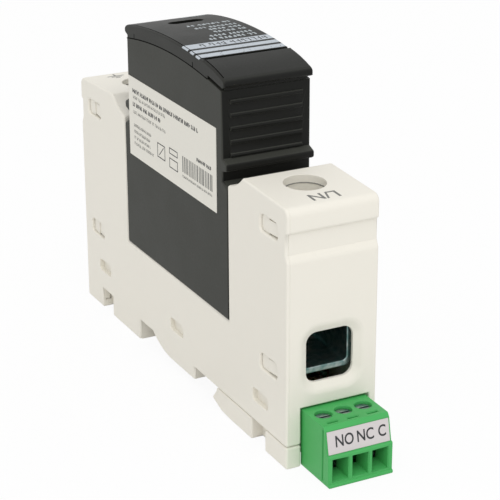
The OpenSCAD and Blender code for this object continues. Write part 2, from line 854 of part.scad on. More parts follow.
module plug_entry(x) {
    mouth_x = [-entry_w / 2, entry_w / 2];
    throat_x = [-1.25, 1.25];
    throat_z = [-1.55, 1.55];
    throat_y = plug_front + throat_run;
    translate([x, 0, entry_z]) {
        hull() {
            span_box(mouth_x, [plug_front - over, plug_front + 0.35], [-entry_h / 2, entry_h / 2]);
            span_box(throat_x, [throat_y, throat_y + sliver], throat_z);
        }
        span_box(throat_x, [throat_y - sliver, chamber_y[0] + over], throat_z);
    }
}

module plug_body() {
    color(green_colour) difference() {
        union() {
            along_x(plug_x0, plug_x1) polygon([
                [plug_back, plug_bottom],
                [plug_front, plug_bottom],
                [plug_front, plug_bottom + 0.55],
                [plug_front + 0.3, plug_bottom + 0.7],
                [plug_front + 0.3, strip_p0[1] - 0.2],
                strip_p0,
                strip_p1,
                [plug_front + 1.75, strip_p1[1] + 0.1],
                [plug_front + 2.3, plug_top],
                [plug_back, plug_top]]);
            span_box([plug_x - nose_half, plug_x + nose_half], [plug_back - over, nose_end],
                [nose_z0, nose_z0 + nose_h]);
        }
        for (pole = poles) {
            x = plug_x + pole * pole_pitch;
            plug_entry(x);
            span_box([x - chamber_half, x + chamber_half], chamber_y, chamber_z);
            translate([x, plug_screw_y, 0]) rod(plug_bore_d, chamber_z[1] - over, plug_top + over);
            span_box([x - 0.85, x + 0.85], [chamber_y[1] - over, nose_end + over],
                [pin_z - 0.9, pin_z + 0.9]);
            // Test slot in front of the screw
            span_box([x - 1.05, x + 1.05], [plug_front + 3.2, plug_front + 3.7],
                [plug_top - 0.8, plug_top + over]);
        }
        // Shallow grooves down both sides
        for (x = [plug_x0, plug_x1])
            span_box([x - 0.25, x + 0.25], [plug_front + 2.3, plug_front + 2.65],
                [plug_bottom + 0.7, plug_top - 0.7]);
    }
}

// Female contact: a tongue over the wire clamp and two leaves over the pin
module plug_contacts() {
    low = pin_z - pin_t / 2 - pin_gap - contact_t;
    high = pin_z + pin_t / 2 + pin_gap;
    back = chamber_y[1] - 0.5;
    end = nose_end - 0.7;
    color(copper_colour) for (pole = poles) {
        x = plug_x + pole * pole_pitch;
        along_x(x - 0.7, x + 0.7) polygon([
            [chamber_y[0] + 0.5, tongue_z],
            [back + contact_t, tongue_z],
            [back + contact_t, low],
            [end, low],
            [end, low + contact_t],
            [back + contact_t, low + contact_t],
            [back + contact_t, high],
            [end, high],
            [end, high + contact_t],
            [back, high + contact_t],
            [back, tongue_z + contact_t],
            [chamber_y[0] + 0.5, tongue_z + contact_t]]);
    }
}

// Marking strip on the sloping front
module plug_label() {
    run = strip_p1 - strip_p0;
    out = [-run[1], run[0]] / norm(run) * strip_t;
    color([0.78, 0.77, 0.78]) along_x(plug_x0 + 0.3, plug_x1 - 0.3)
        polygon([strip_p0, strip_p0 + out, strip_p1 + out, strip_p1]);
}

module plug_screw(pole) {
    seat = chamber_z[1] + tip_gap;
    color(zinc_colour) translate([plug_x + pole * pole_pitch, plug_screw_y, 0]) difference() {
        union() {
            rod(plug_screw_d, tongue_z + contact_t + tip_gap, seat + over / 2);
            rod(plug_head_d, seat, seat + 1);
        }
        span_box([-plug_head_d, plug_head_d], [-0.25, 0.25], [seat + 0.5, seat + 1 + over]);
    }
}

module plug_clamp(pole) {
    inside = clamp_half - 0.4;
    color(zinc_colour) translate([plug_x + pole * pole_pitch, 0, 0]) difference() {
        span_box([-clamp_half, clamp_half], clamp_y, [clamp_z[0], clamp_z[3]]);
        span_box([-inside, inside], [clamp_y[0] - over, clamp_y[1] + over], [clamp_z[1], clamp_z[2]]);
        translate([0, plug_screw_y, 0])
            rod(plug_screw_d + 2 * thread_gap, clamp_z[2] - over, clamp_z[3] + over);
    }
}

module plug_screw_1() { plug_screw(poles[0]); }
module plug_screw_2() { plug_screw(poles[1]); }
module plug_screw_3() { plug_screw(poles[2]); }
module plug_clamp_1() { plug_clamp(poles[0]); }
module plug_clamp_2() { plug_clamp(poles[1]); }
module plug_clamp_3() { plug_clamp(poles[2]); }

// Cartridge

// Side view of the cartridge without its top arch, drawn in by an inset
module case_outline(inset = 0) {
    step = low_half - top_half;
    polygon([
        [-low_half + inset, bay_floor + inset],
        [low_half - inset, bay_floor + inset],
        [low_half - inset, scoop_h - step / 2 - inset],
        [top_half - inset, scoop_h - inset],
        [top_half - inset, seam_z + cap_h],
        [-top_half + inset, seam_z + cap_h],
        [-top_half + inset, scoop_h - inset],
        [-low_half + inset, scoop_h - step / 2 - inset]]);
}

module seam_disc(radius) {
    translate([0, seam_c]) circle(radius, $fn = 180);
}

// Latch ridge and grip ribs on one end of the cartridge
module grip_end() {
    along_x(-case_half, case_half) polygon([
        [-top_half + over, ridge_z[0]],
        [-top_half, ridge_z[0]],
        [-top_half - ridge_out, ridge_z[1]],
        [-top_half - ridge_out, ridge_z[2]],
        [-top_half, ridge_z[3]],
        [-top_half + over, ridge_z[3]]]);
    for (i = [0:rib_count - 1])
        along_x(-rib_l / 2, rib_l / 2)
            translate([-top_half, rib_z + i * rib_pitch]) circle(rib_r, $fn = 24);
}

module cartridge_case() {
    inner = case_half - case_t;
    color(cartridge_colour) difference() {
        union() {
            difference() {
                along_x(-case_half, case_half) intersection() {
                    case_outline();
                    seam_disc(seam_r);
                }
                along_x(-inner, inner) case_outline(case_t);
            }
            both_ends() grip_end();
            rod(pin_bore_d + 2 * case_t, case_floor - over, bay_floor + pin_bore_h + case_t);
            // Ledge that carries the trip slide, and the stop for its spring
            span_box([slide_x1 - slide_t - 0.6, inner + over / 2],
                [slide_y[0] - 1, slide_y[1] + trip_travel], [ledge_z, ledge_z + ledge_h]);
            span_box([slide_x1 - slide_t, inner + over / 2], rib_y, [trip_spring_z - 4, trip_spring_z + 4]);
        }
        rod(pin_bore_d, bay_floor - over, bay_floor + pin_bore_h);
        blade_slots(blade_t / 2 - blade_gap / 2);
    }
}

// Side view of the cap's outside
module cap_outline() {
    difference() {
        union() {
            intersection() {
                seam_disc(cap_top_r);
                span_rect([-lip_half + cap_r, lip_half - cap_r], [lip_z, seam_z + 2 * cap_h]);
            }
            intersection() {
                seam_disc(cap_top_r + plate_rise);
                span_rect([-lip_half + cap_r, plate_y], [lip_z, seam_z + 2 * cap_h]);
            }
            intersection() {
                seam_disc(cap_top_r);
                span_rect([-top_half, top_half], [seam_z - cap_h, seam_z + cap_h]);
            }
            for (side = [-1, 1]) {
                translate([side * (lip_half - cap_r), lip_top - cap_r]) circle(cap_r);
                translate([side * (lip_half - cap_r / 2), (lip_z + lip_top - cap_r) / 2])
                    square([cap_r, lip_top - cap_r - lip_z], center = true);
            }
        }
        seam_disc(seam_r + sliver);
        difference() {
            span_rect([plate_y, plate_y + cap_groove_w], [lip_z, seam_z + 2 * cap_h]);
            seam_disc(cap_top_r - cap_groove_d);
        }
    }
}

module cartridge_cap() {
    inner = case_half - case_t;
    color(cap_colour) difference() {
        along_x(-case_half, case_half) cap_outline();
        along_x(-inner, inner) intersection() {
            seam_disc(cap_top_r - cap_t);
            span_rect([-top_half + case_t, top_half - case_t], [seam_z - 2 * cap_h, seam_z + 2 * cap_h]);
        }
        translate([slot_x, slot_y, seam_z - cap_h])
            linear_extrude(3 * cap_h) round_rect(slot_l, slot_w, slot_w / 2 - 0.01);
        for (side = [-1, 1])
            translate([side * case_half, 0, 0]) along_x(-cap_notch_d, cap_notch_d) intersection() {
                seam_disc(seam_r + cap_notch_h);
                span_rect([-top_half, -top_half + cap_notch_l], [seam_z - 2 * cap_h, seam_z + cap_h]);
            }
    }
}

module side_label() {
    color([0.86, 0.85, 0.81])
        span_box([-half_w, -case_half], [label_y - label_l / 2, label_y + label_l / 2],
            [label_z - label_h / 2, label_z + label_h / 2]);
}

module varistor() {
    color([0.16, 0.3, 0.5]) along_x(-varistor_t / 2, varistor_t / 2)
        translate([0, varistor_z + varistor_h / 2]) round_rect(varistor_l, varistor_h, 3);
}

// Blade with a jog to one face of the varistor, drawn at the near end
module blade() {
    span_box([-blade_t / 2, blade_t / 2], [-blade_y - blade_w / 2, -blade_y + blade_w / 2],
        [bay_floor - blade_reach, jog_z + blade_t]);
    span_box([-varistor_t / 2 - tab_t, blade_t / 2], [-blade_y - blade_w / 2, -blade_y + blade_w / 2],
        [jog_z, jog_z + blade_t]);
}

// Strip soldered to a face of the varistor
module face_tab(height) {
    y0 = -blade_y + blade_w / 4;
    span_box([-varistor_t / 2 - tab_t, -varistor_t / 2], [y0, y0 + face_tab_w],
        [jog_z + blade_t, jog_z + blade_t + height]);
}

module line_blade() {
    color(copper_colour) union() {
        blade();
        face_tab(line_tab_h);
    }
}

module earth_blade() {
    color(copper_colour) rotate([0, 0, 180]) blade();
}

module thermal_link() {
    color(copper_colour) rotate([0, 0, 180]) face_tab(link_h);
}

// Slide with the red flag that comes under the slot when the cartridge has tripped
module trip_slide() {
    x = [slide_x1 - slide_t, slide_x1];
    color([0.75, 0.12, 0.1]) union() {
        span_box(x, slide_y, [ledge_z + ledge_h, slide_top]);
        span_box([flag_x, slide_x1], flag_y, [slide_top - flag_t, slide_top]);
    }
}

module trip_spring() {
    color(zinc_colour) translate([slide_x1 - slide_t / 2, rib_y[1], trip_spring_z])
        coil(trip_spring_d, trip_spring_wire, slide_y[0] - rib_y[1], 6);
}

base_shell();
base_cover();
rail_clip();
clip_spring();
line_cage();
line_screw();
line_busbar();
line_contact();
earth_cage();
earth_screw();
earth_busbar();
earth_contact();
signal_switch();
switch_plunger();
signal_leads();
signal_header();
header_pins();
plug_body();
plug_contacts();
plug_label();
plug_screw_1();
plug_screw_2();
plug_screw_3();
plug_clamp_1();
plug_clamp_2();
plug_clamp_3();
cartridge_case();
cartridge_cap();
side_label();
varistor();
line_blade();
earth_blade();
thermal_link();
trip_slide();
trip_spring();
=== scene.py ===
"""Dresses the rail surge arrester: soft mould edges, plated metal, threads, print and a white studio."""

import json
import logging
import math
import random
from collections.abc import Callable, Iterable, Mapping, Sequence
from dataclasses import dataclass
from enum import Enum
from typing import Any, TypeVar

import bmesh
import bpy
import numpy as np
from mathutils import Matrix, Vector


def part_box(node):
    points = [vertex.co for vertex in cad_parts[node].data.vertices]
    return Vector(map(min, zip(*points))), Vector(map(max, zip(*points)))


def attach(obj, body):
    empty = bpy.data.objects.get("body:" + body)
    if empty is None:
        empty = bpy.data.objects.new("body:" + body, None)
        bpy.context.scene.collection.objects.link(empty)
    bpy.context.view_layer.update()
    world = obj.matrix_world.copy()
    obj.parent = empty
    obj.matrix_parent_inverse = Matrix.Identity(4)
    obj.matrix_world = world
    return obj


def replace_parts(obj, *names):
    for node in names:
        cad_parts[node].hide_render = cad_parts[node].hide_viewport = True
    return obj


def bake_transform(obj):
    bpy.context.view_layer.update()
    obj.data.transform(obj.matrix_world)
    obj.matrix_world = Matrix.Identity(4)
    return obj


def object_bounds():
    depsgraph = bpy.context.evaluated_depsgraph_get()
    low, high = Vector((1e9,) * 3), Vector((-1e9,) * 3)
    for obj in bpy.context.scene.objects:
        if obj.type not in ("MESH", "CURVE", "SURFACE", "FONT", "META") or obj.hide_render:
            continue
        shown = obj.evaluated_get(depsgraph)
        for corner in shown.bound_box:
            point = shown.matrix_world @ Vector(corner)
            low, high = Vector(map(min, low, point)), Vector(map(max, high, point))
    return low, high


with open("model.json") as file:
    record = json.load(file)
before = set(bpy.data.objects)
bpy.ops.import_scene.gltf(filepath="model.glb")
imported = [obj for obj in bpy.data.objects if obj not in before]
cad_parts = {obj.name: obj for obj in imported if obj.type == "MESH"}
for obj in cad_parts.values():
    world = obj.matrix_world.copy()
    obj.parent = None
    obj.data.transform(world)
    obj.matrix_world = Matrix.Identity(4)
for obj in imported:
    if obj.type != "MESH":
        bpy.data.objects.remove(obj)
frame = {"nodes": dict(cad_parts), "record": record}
CAD_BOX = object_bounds()

MM = 0.001
IMAGE_SIDE = 500
WELD = 0.002 * MM  # points closer than this are one
SPECK = 0.06 * MM  # edges shorter than this are dropped
FLAT = 0.01  # faces that turn less than this, in radians, are one flat
SHARP = math.radians(22)  # edges that turn more than this are corners
SMOOTH_TURN = math.radians(62)  # a run of rounded edges takes turns up to this
KEPT_SHARE = 0.1  # rounding leaves this share of each edge and flat
TIGHT = 1.001  # rounding is narrowed where it takes more than this share of its room
LEAST_SINE = 0.1  # bounds what is eaten where edges meet at a small angle
RECORD = frame["record"]
BODY_OF = {node: body for body, nodes in RECORD["behaviour"]["bodies"].items() for node in nodes}
SLOT_OF = {part["node"]: part["material_slot"] for part in RECORD["subparts"]}

Triple = tuple[float, float, float]
Colour = Triple
Point = tuple[float, float]
Polygon = list[Point]
Edge = bmesh.types.BMEdge
Vert = bmesh.types.BMVert
Face = bmesh.types.BMFace
Mesh = bmesh.types.BMesh
Piece = bpy.types.Object
Item = TypeVar("Item")
Placement = Callable[[float, float, float], Vector]
EdgeRule = Callable[[Vector, float], float]
Reshape = Callable[[Mesh], None]

log = logging.getLogger("arrester")


def tone(red: int, green: int, blue: int) -> Colour:
    """Gives the linear colour of an 8-bit screen colour.

    Args:
        red: Red, 0 to 255.
        green: Green, 0 to 255.
        blue: Blue, 0 to 255.

    Returns:
        The colour in linear light.
    """
    shares = [v / 255 for v in (red, green, blue)]
    return tuple(v / 12.92 if v <= 0.04045 else ((v + 0.055) / 1.055) ** 2.4 for v in shares)


class Signal:
    """An output socket that takes part in Python arithmetic, which adds Math or Vector Math nodes."""

    def __init__(self, graph: "Graph", socket: bpy.types.NodeSocket) -> None:
        """Keeps the socket and the graph that it belongs to."""
        self.graph = graph
        self.socket = socket

    def _apply(self, operation: str, first: Any, second: Any) -> "Signal":
        """Adds one operation's node.

        Args:
            operation: Name of the Math or Vector Math operation.
            first: Left operand, a signal or a number.
            second: Right operand, a signal or a number.

        Returns:
            The node's result.
        """
        kind = "ShaderNodeVectorMath" if self.socket.type == "VECTOR" else "ShaderNodeMath"
        return self.graph.node(kind, {"operation": operation}, {0: first, 1: second})

    def __add__(self, other: Any) -> "Signal":
        """Sum."""
        return self._apply("ADD", self, other)

    def __radd__(self, other: Any) -> "Signal":
        """Sum with a number on the left."""
        return self._apply("ADD", other, self)

    def __sub__(self, other: Any) -> "Signal":
        """Difference."""
        return self._apply("SUBTRACT", self, other)

    def __rsub__(self, other: Any) -> "Signal":
        """Difference from a number on the left."""
        return self._apply("SUBTRACT", other, self)

    def __mul__(self, other: Any) -> "Signal":
        """Product."""
        return self._apply("MULTIPLY", self, other)

    def __rmul__(self, other: Any) -> "Signal":
        """Product with a number on the left."""
        return self._apply("MULTIPLY", other, self)

    def __gt__(self, other: Any) -> "Signal":
        """One where the signal is above the other, else zero."""
        return self._apply("GREATER_THAN", self, other)

    def __lt__(self, other: Any) -> "Signal":
        """One where the signal is below the other, else zero."""
        return self._apply("LESS_THAN", self, other)

    def __abs__(self) -> "Signal":
        """Size without sign."""
        return self.graph.node("ShaderNodeMath", {"operation": "ABSOLUTE"}, {0: self})

    def either(self, other: Any) -> "Signal":
        """Gives the greater of the two."""
        return self._apply("MAXIMUM", self, other)


class Graph:
    """The node tree of one material or of the world."""

    def __init__(self, tree: bpy.types.NodeTree) -> None:
        """Takes a tree and empties it."""
        self.tree = tree
        tree.nodes.clear()

    @staticmethod
    def _socket(sockets: Any, key: int | str) -> bpy.types.NodeSocket:
        """Finds a socket.

        Args:
            sockets: The inputs or the outputs of a node.
            key: Index, identifier or name.

        Returns:
            The socket.
        """
        if isinstance(key, int):
            return sockets[key]
        return next((s for s in sockets if s.identifier == key), None) or sockets[key]

    def node(
        self,
        kind: str,
        settings: Mapping[str, Any] | None = None,
        inputs: Mapping[int | str, Any] | None = None,
        output: int | str = 0,
    ) -> Signal | None:
        """Adds a node.

        Args:
            kind: Blender's name of the node type.
            settings: Attributes of the node, which are set first.
            inputs: Values or signals by socket index, identifier or name.
            output: The socket to give back.

        Returns:
            The chosen output as a signal, or nothing from a node without outputs.
        """
        made = self.tree.nodes.new(kind)
        for key, value in (settings or {}).items():
            setattr(made, key, value)
        for key, value in (inputs or {}).items():
            socket = self._socket(made.inputs, key)
            if isinstance(value, Signal):
                self.tree.links.new(value.socket, socket)
            elif socket.type == "RGBA":
                socket.default_value = (*value, 1.0)
            elif socket.type == "VECTOR" and isinstance(value, (int, float)):
                socket.default_value = (value,) * 3
            else:
                socket.default_value = value
        return Signal(self, self._socket(made.outputs, output)) if made.outputs else None

    def place(self) -> Signal:
        """Gives the point on the piece, in metres in the part's frame."""
        return self.node("ShaderNodeTexCoord", output="Object")

    def axes(self, vector: Signal) -> tuple[Signal, Signal, Signal]:
        """Splits a vector.

        Args:
            vector: The vector to split.

        Returns:
            Its three parts.
        """
        split = self.node("ShaderNodeSeparateXYZ", inputs={0: vector}).socket.node
        return tuple(Signal(self, socket) for socket in split.outputs)

    def facing(self, axis: int) -> Signal:
        """Gives how far a face looks along one axis of the part's frame, from -1 to 1."""
        return self.axes(self.node("ShaderNodeTexCoord", output="Normal"))[axis]

    def noise(self, size_mm: float, detail: float = 2.0, stretch: Triple | None = None) -> Signal:
        """Adds a cloudy value.

        Args:
            size_mm: Size of its features.
            detail: Octaves of finer features.
            stretch: Factors on the coordinates, below one to draw it out.

        Returns:
            A value round one half.
        """
        where = self.place() * stretch if stretch else self.place()
        inputs = {"Vector": where, "Scale": 1 / (size_mm * MM), "Detail": detail}
        return self.node("ShaderNodeTexNoise", inputs=inputs)

    def mix(self, share: Any, low: Any, high: Any) -> Signal:
        """Mixes two colours.

        Args:
            share: Share of the second colour.
            low: The first colour.
            high: The second colour.

        Returns:
            The mixed colour.
        """
        values = {"Factor_Float": share, "A_Color": low, "B_Color": high}
        return self.node("ShaderNodeMix", {"data_type": "RGBA"}, values, "Result_Color")

    def ramp(self, value: Signal, low: float, high: float) -> Signal:
        """Turns a range of values into a soft step.

        Args:
            value: The value to read.
            low: Where the step starts.
            high: Where it ends.

        Returns:
            Zero to one.
        """
        settings = {"interpolation_type": "SMOOTHSTEP"}
        return self.node("ShaderNodeMapRange", settings, {"Value": value, "From Min": low, "From Max": high})

    def bump(self, height: Signal, depth_mm: float) -> Signal:
        """Turns a height into a bent normal.

        Args:
            height: Height, about zero to one.
            depth_mm: Depth of the relief.

        Returns:
            The normal.
        """
        inputs = {"Height": height, "Distance": depth_mm * MM, "Strength": 1.0}
        return self.node("ShaderNodeBump", inputs=inputs)

    def surface(self, **sockets: Any) -> None:
        """Ends a material in one surface shader.

        Args:
            **sockets: Values or signals of the shader, its socket names with underscores for spaces.
        """
        inputs = {key.replace("_", " "): value for key, value in sockets.items()}
        shader = self.node("ShaderNodeBsdfPrincipled", inputs=inputs)
        self.node("ShaderNodeOutputMaterial", inputs={"Surface": shader})


@dataclass(frozen=True)
class Finish:
    """What every finish has: a name, and a material that is made once."""

    name: str

    def paint(self, graph: Graph) -> None:
        """Fills the material's node tree."""
        raise NotImplementedError

    def material(self) -> bpy.types.Material:
        """Gives the finish's material, made at its first use.

        Returns:
            The material.
        """
        known = bpy.data.materials.get(self.name)
        if known is not None:
            return known
        made = bpy.data.materials.new(self.name)
        made.use_nodes = True
        self.paint(Graph(made.node_tree))
        return made


@dataclass(frozen=True)
class MouldedPlastic(Finish):
    """Moulded plastic with a fine eroded grain and faint clouds of tone."""

    colour: Colour
    # Painted light: end and top colours darken faces that look along Y or upwards, for sheen and shade, not
    # for another plastic.
    end_painted_shade: Colour | None = None
    end_shade_turn: Point = (0.5, 0.9)
    top_painted_shade: Colour | None = None
    top_shade_turn: Point = (0.8, 0.97)
    roughness: float = 0.45
    specular: float = 0.4
    grain_mm: float = 0.28
    grain_depth_mm: float = 0.006
    grain_gloss: float = 0.1
    cloud_mm: float = 7.0
    cloud: float = 0.05
    cloud_gloss: float = 0.12

    def pigment_and_shade(self, graph: Graph) -> Any:
        """Gives the plastic's colour, with painted sheen and shade by the way a face looks: the end and top
        colours stand in for how light falls on those faces.

        Args:
            graph: The material's graph.

        Returns:
            A colour or a signal.
        """
        colour: Any = self.colour
        if self.end_painted_shade:
            colour = graph.mix(graph.ramp(abs(graph.facing(1)), *self.end_shade_turn), colour, self.end_painted_shade)
        if self.top_painted_shade:
            colour = graph.mix(graph.ramp(graph.facing(2), *self.top_shade_turn), colour, self.top_painted_shade)
        return colour

    def paint(self, graph: Graph) -> None:
        """Fills the tree: clouded colour with its painted shade, grained normal and uneven gloss.

        Args:
            graph: The material's graph.
        """
        clouds = graph.noise(self.cloud_mm, detail=3.0)
        grain = graph.noise(self.grain_mm)
        shade = {0: self.pigment_and_shade(graph), "Scale": 1 - 2 * self.cloud * (1 - clouds)}
        graph.surface(
            Base_Color=graph.node("ShaderNodeVectorMath", {"operation": "SCALE"}, shade),
            Roughness=self.roughness + (clouds - 0.5) * self.cloud_gloss + (grain - 0.5) * self.grain_gloss,
            Specular_IOR_Level=self.specular,
            Normal=graph.bump(grain, self.grain_depth_mm),
        )


@dataclass(frozen=True)
class StripedCap(MouldedPlastic):
    """The cap's plastic with three printed bands across its top."""

    ink: Colour = tone(192, 199, 206)
    bands_mm: tuple[Point, ...] = ((-6.9, -4.5), (-9.25, -7.75), (-11.65, -10.1))
    reach_mm: Point = (-9.1, 8.8)
    fray_mm: float = 0.2
    fray_size_mm: float = 0.9
    fray_stretch: Triple = (0.05, 1.0, 0.05)
    wear_size_mm: float = 0.5
    wear: Point = (0.22, 0.4)
    least_upward: float = 0.3

    def pigment_and_shade(self, graph: Graph) -> Any:
        """Lays the bands over the plastic's colour and its painted shade, worn in spots and frayed at one
        end.

        Args:
            graph: The material's graph.

        Returns:
            The colour's signal.
        """
        across, along, _ = graph.axes(graph.place())
        bands = sum((along > low * MM) * (along < high * MM) for low, high in self.bands_mm)
        fray = graph.noise(self.fray_size_mm, 1.0, self.fray_stretch) * (2 * self.fray_mm * MM)
        started = across > fray + (self.reach_mm[0] - self.fray_mm) * MM
        on_top = (across < self.reach_mm[1] * MM) * (graph.facing(2) > self.least_upward)
        worn = graph.ramp(graph.noise(self.wear_size_mm, detail=3.0), *self.wear)
        return graph.mix(bands * started * on_top * worn, super().pigment_and_shade(graph), self.ink)


@dataclass(frozen=True)
class PlatedSteel(Finish):
    """Plated steel with a clouded tint and drawn marks along Y; the tint is passivation, or painted green
    reflection where a look says so.
    """

    colour: Colour
    tint: Colour
    roughness: float = 0.3
    cloud_mm: float = 2.4
    cloud_edge: Point = (0.32, 0.68)
    cloud_gloss: float = 0.15
    drawn_mm: float = 0.12
    drawn_stretch: Triple = (1.0, 0.06, 1.0)
    drawn_depth_mm: float = 0.004
    drawn_gloss: float = 0.2

    def paint(self, graph: Graph) -> None:
        """Fills the tree: two tints of plating, drawn marks and dull patches.

        Args:
            graph: The material's graph.
        """
        clouds = graph.ramp(graph.noise(self.cloud_mm, detail=4.0), *self.cloud_edge)
        drawn = graph.noise(self.drawn_mm, stretch=self.drawn_stretch)
        graph.surface(
            Base_Color=graph.mix(clouds, self.colour, self.tint),
            Metallic=1.0,
            Roughness=self.roughness + (clouds - 0.5) * self.cloud_gloss + (drawn - 0.5) * self.drawn_gloss,
            Normal=graph.bump(drawn, self.drawn_depth_mm),
        )


@dataclass(frozen=True)
class CopperStrip(Finish):
    """Stamped copper strip with rolling marks along Y and a light tarnish."""

    colour: Colour = (0.78, 0.42, 0.25)
    tarnish: Colour = (0.42, 0.2, 0.11)
    roughness: float = 0.26
    patch_mm: float = 3.0
    patch_edge: Point = (0.45, 0.75)
    patch_gloss: float = 0.22
    rolled_mm: float = 0.1
    rolled_stretch: Triple = (1.0, 0.08, 1.0)
    rolled_depth_mm: float = 0.003
    rolled_gloss: float = 0.15

    def paint(self, graph: Graph) -> None:
        """Fills the tree: bright copper, tarnish in patches, rolling marks.

        Args:
            graph: The material's graph.
        """
        patches = graph.ramp(graph.noise(self.patch_mm, detail=5.0), *self.patch_edge)
        rolled = graph.noise(self.rolled_mm, stretch=self.rolled_stretch)
        graph.surface(
            Base_Color=graph.mix(patches, self.colour, self.tarnish),
            Metallic=1.0,
            Roughness=self.roughness + patches * self.patch_gloss + (rolled - 0.5) * self.rolled_gloss,
            Normal=graph.bump(rolled, self.rolled_depth_mm),
        )


@dataclass(frozen=True)
class PrintedFilm(Finish):
    """Coated film of a label: pale, faintly fibrous, with a low sheen."""

    colour: Colour
    roughness: float = 0.5
    metallic: float = 0.0
    specular: float = 0.35
    speckle_mm: float = 0.35
    speckle_dark: float = 0.93
    speckle_gloss: float = 0.12
    speckle_relief: float = 0.1
    wave_mm: float = 5.0
    wave_depth_mm: float = 0.02

    def paint(self, graph: Graph) -> None:
        """Fills the tree: a speckled coat over a slightly wavy film.

        Args:
            graph: The material's graph.
        """
        speckle = graph.noise(self.speckle_mm, detail=3.0)
        waves = graph.noise(self.wave_mm, detail=1.0)
        low = tuple(v * self.speckle_dark for v in self.colour)
        graph.surface(
            Base_Color=graph.mix(speckle, low, self.colour),
            Metallic=self.metallic,
            Roughness=self.roughness + (speckle - 0.5) * self.speckle_gloss,
            Specular_IOR_Level=self.specular,
            Normal=graph.bump(waves + speckle * self.speckle_relief, self.wave_depth_mm),
        )


@dataclass(frozen=True)
class Ink(Finish):
    """Printing ink that is thin in places, also used as painted shadow in joints."""

    colour: Colour
    thin: Colour
    roughness: float = 0.55
    specular: float = 0.3
    spot_mm: float = 0.25
    spot_edge: Point = (0.58, 0.78)
    spot_gloss: float = 0.15

    def paint(self, graph: Graph) -> None:
        """Fills the tree: full ink and thin ink in small spots.

        Args:
            graph: The material's graph.
        """
        spots = graph.ramp(graph.noise(self.spot_mm, detail=3.0), *self.spot_edge)
        graph.surface(
            Base_Color=graph.mix(spots, self.colour, self.thin),
            Roughness=self.roughness + spots * self.spot_gloss,
            Specular_IOR_Level=self.specular,
        )


@dataclass(frozen=True)
class DippedCoat(Finish):
    """Glossy dipped resin with an orange-peel skin."""

    colour: Colour
    pooled: Colour
    roughness: float = 0.28
    coat: float = 0.4
    pool_mm: float = 4.0
    pool_gloss: float = 0.15
    peel_mm: float = 0.9
    peel_depth_mm: float = 0.05

    def paint(self, graph: Graph) -> None:
        """Fills the tree: pooled resin, orange peel and a clear top.

        Args:
            graph: The material's graph.
        """
        pools = graph.noise(self.pool_mm)
        graph.surface(
            Base_Color=graph.mix(pools, self.colour, self.pooled),
            Roughness=self.roughness + pools * self.pool_gloss,
            Coat_Weight=self.coat,
            Normal=graph.bump(graph.noise(self.peel_mm, detail=1.0), self.peel_depth_mm),
        )


class Look(Enum):
    """The finishes of the arrester's pieces."""

    HOUSING = MouldedPlastic(
        "warm white moulding",
        colour=tone(237, 233, 222),
        roughness=0.46,
        specular=0.35,
        cloud=0.012,
    )
    CARTRIDGE = MouldedPlastic(
        "dark grey moulding",
        colour=tone(59, 60, 55),
        # Painted sheen and shade: the grey of the sides holds the sheen that light gives them, the near-black
        # of the ends their shade; the case is one plastic.
        end_painted_shade=tone(15, 16, 13),
        roughness=0.55,
        specular=0.2,
        grain_mm=0.4,
        grain_depth_mm=0.012,
    )
    CAP = StripedCap(
        "black cap moulding",
        colour=tone(40, 41, 37),
        # Painted sheen and shade: the darker ends and top, against the sides, stand in for how light falls on
        # each face of one plastic.
        end_painted_shade=tone(15, 16, 13),
        top_painted_shade=tone(32, 33, 30),
        roughness=0.5,
        specular=0.2,
        grain_mm=0.35,
        grain_depth_mm=0.01,
    )
    GREEN = MouldedPlastic(
        "green moulding",
        colour=tone(75, 175, 95),
        roughness=0.42,
        specular=0.25,
        cloud=0.04,
    )
    BLACK = MouldedPlastic("black moulding", colour=tone(36, 36, 36), roughness=0.5)
    FLAG = MouldedPlastic("red flag moulding", colour=tone(196, 30, 26), roughness=0.4)
    LABEL = PrintedFilm("label film", colour=tone(232, 229, 219))
    STRIP = PrintedFilm("silver marking film", colour=tone(214, 208, 208), roughness=0.42, metallic=0.15)
    ZINC = PlatedSteel("zinc plating", colour=(0.55, 0.6, 0.6), tint=(0.4, 0.52, 0.47))
    STEEL = PlatedSteel("spring steel", colour=(0.5, 0.5, 0.5), tint=(0.4, 0.41, 0.44), roughness=0.24)
    CAGE = PlatedSteel(
        "dull zinc plating with painted green reflection",
        colour=(0.36, 0.41, 0.4),
        # Painted reflection: the teal tint stands for the green plug reflected in the dull zinc; the plating
        # itself is grey.
        tint=(0.13, 0.23, 0.22),
        roughness=0.4,
        cloud_mm=1.3,
    )
    # Painted reflection: the teal of this tin stands for the green plug reflected in it; the tin itself is
    # grey.
    TIN = PlatedSteel("tin plating with painted green reflection", colour=(0.26, 0.46, 0.47), tint=(0.16, 0.34, 0.34), roughness=0.42)
    COPPER = CopperStrip("copper strip")
    VARISTOR = DippedCoat("dipped blue resin", colour=tone(28, 70, 128), pooled=tone(16, 48, 96))
    DARK_INK = Ink("dark ink", colour=tone(52, 54, 56), thin=tone(96, 98, 98))
    GREY_INK_AND_SHADOW = Ink("grey ink and painted shadow", colour=tone(118, 118, 114), thin=tone(140, 140, 136))
    PALE_INK = Ink("pale ink", colour=tone(178, 186, 190), thin=tone(120, 126, 128))
    # Painted shadow: a near-black sheet laid in the cap's joints and seams, where only shade makes them dark.
    JOINT_SHADOW = Ink("shadow gap", colour=tone(14, 14, 13), thin=tone(20, 20, 19), specular=0.0)


def link(name: str, mesh: bpy.types.Mesh) -> Piece:
    """Puts a mesh into the scene.

    Args:
        name: Name of the new piece.
        mesh: Its mesh, in the part's frame.

    Returns:
        The new object.
    """
    made = bpy.data.objects.new(name, mesh)
    bpy.context.scene.collection.objects.link(made)
    return made


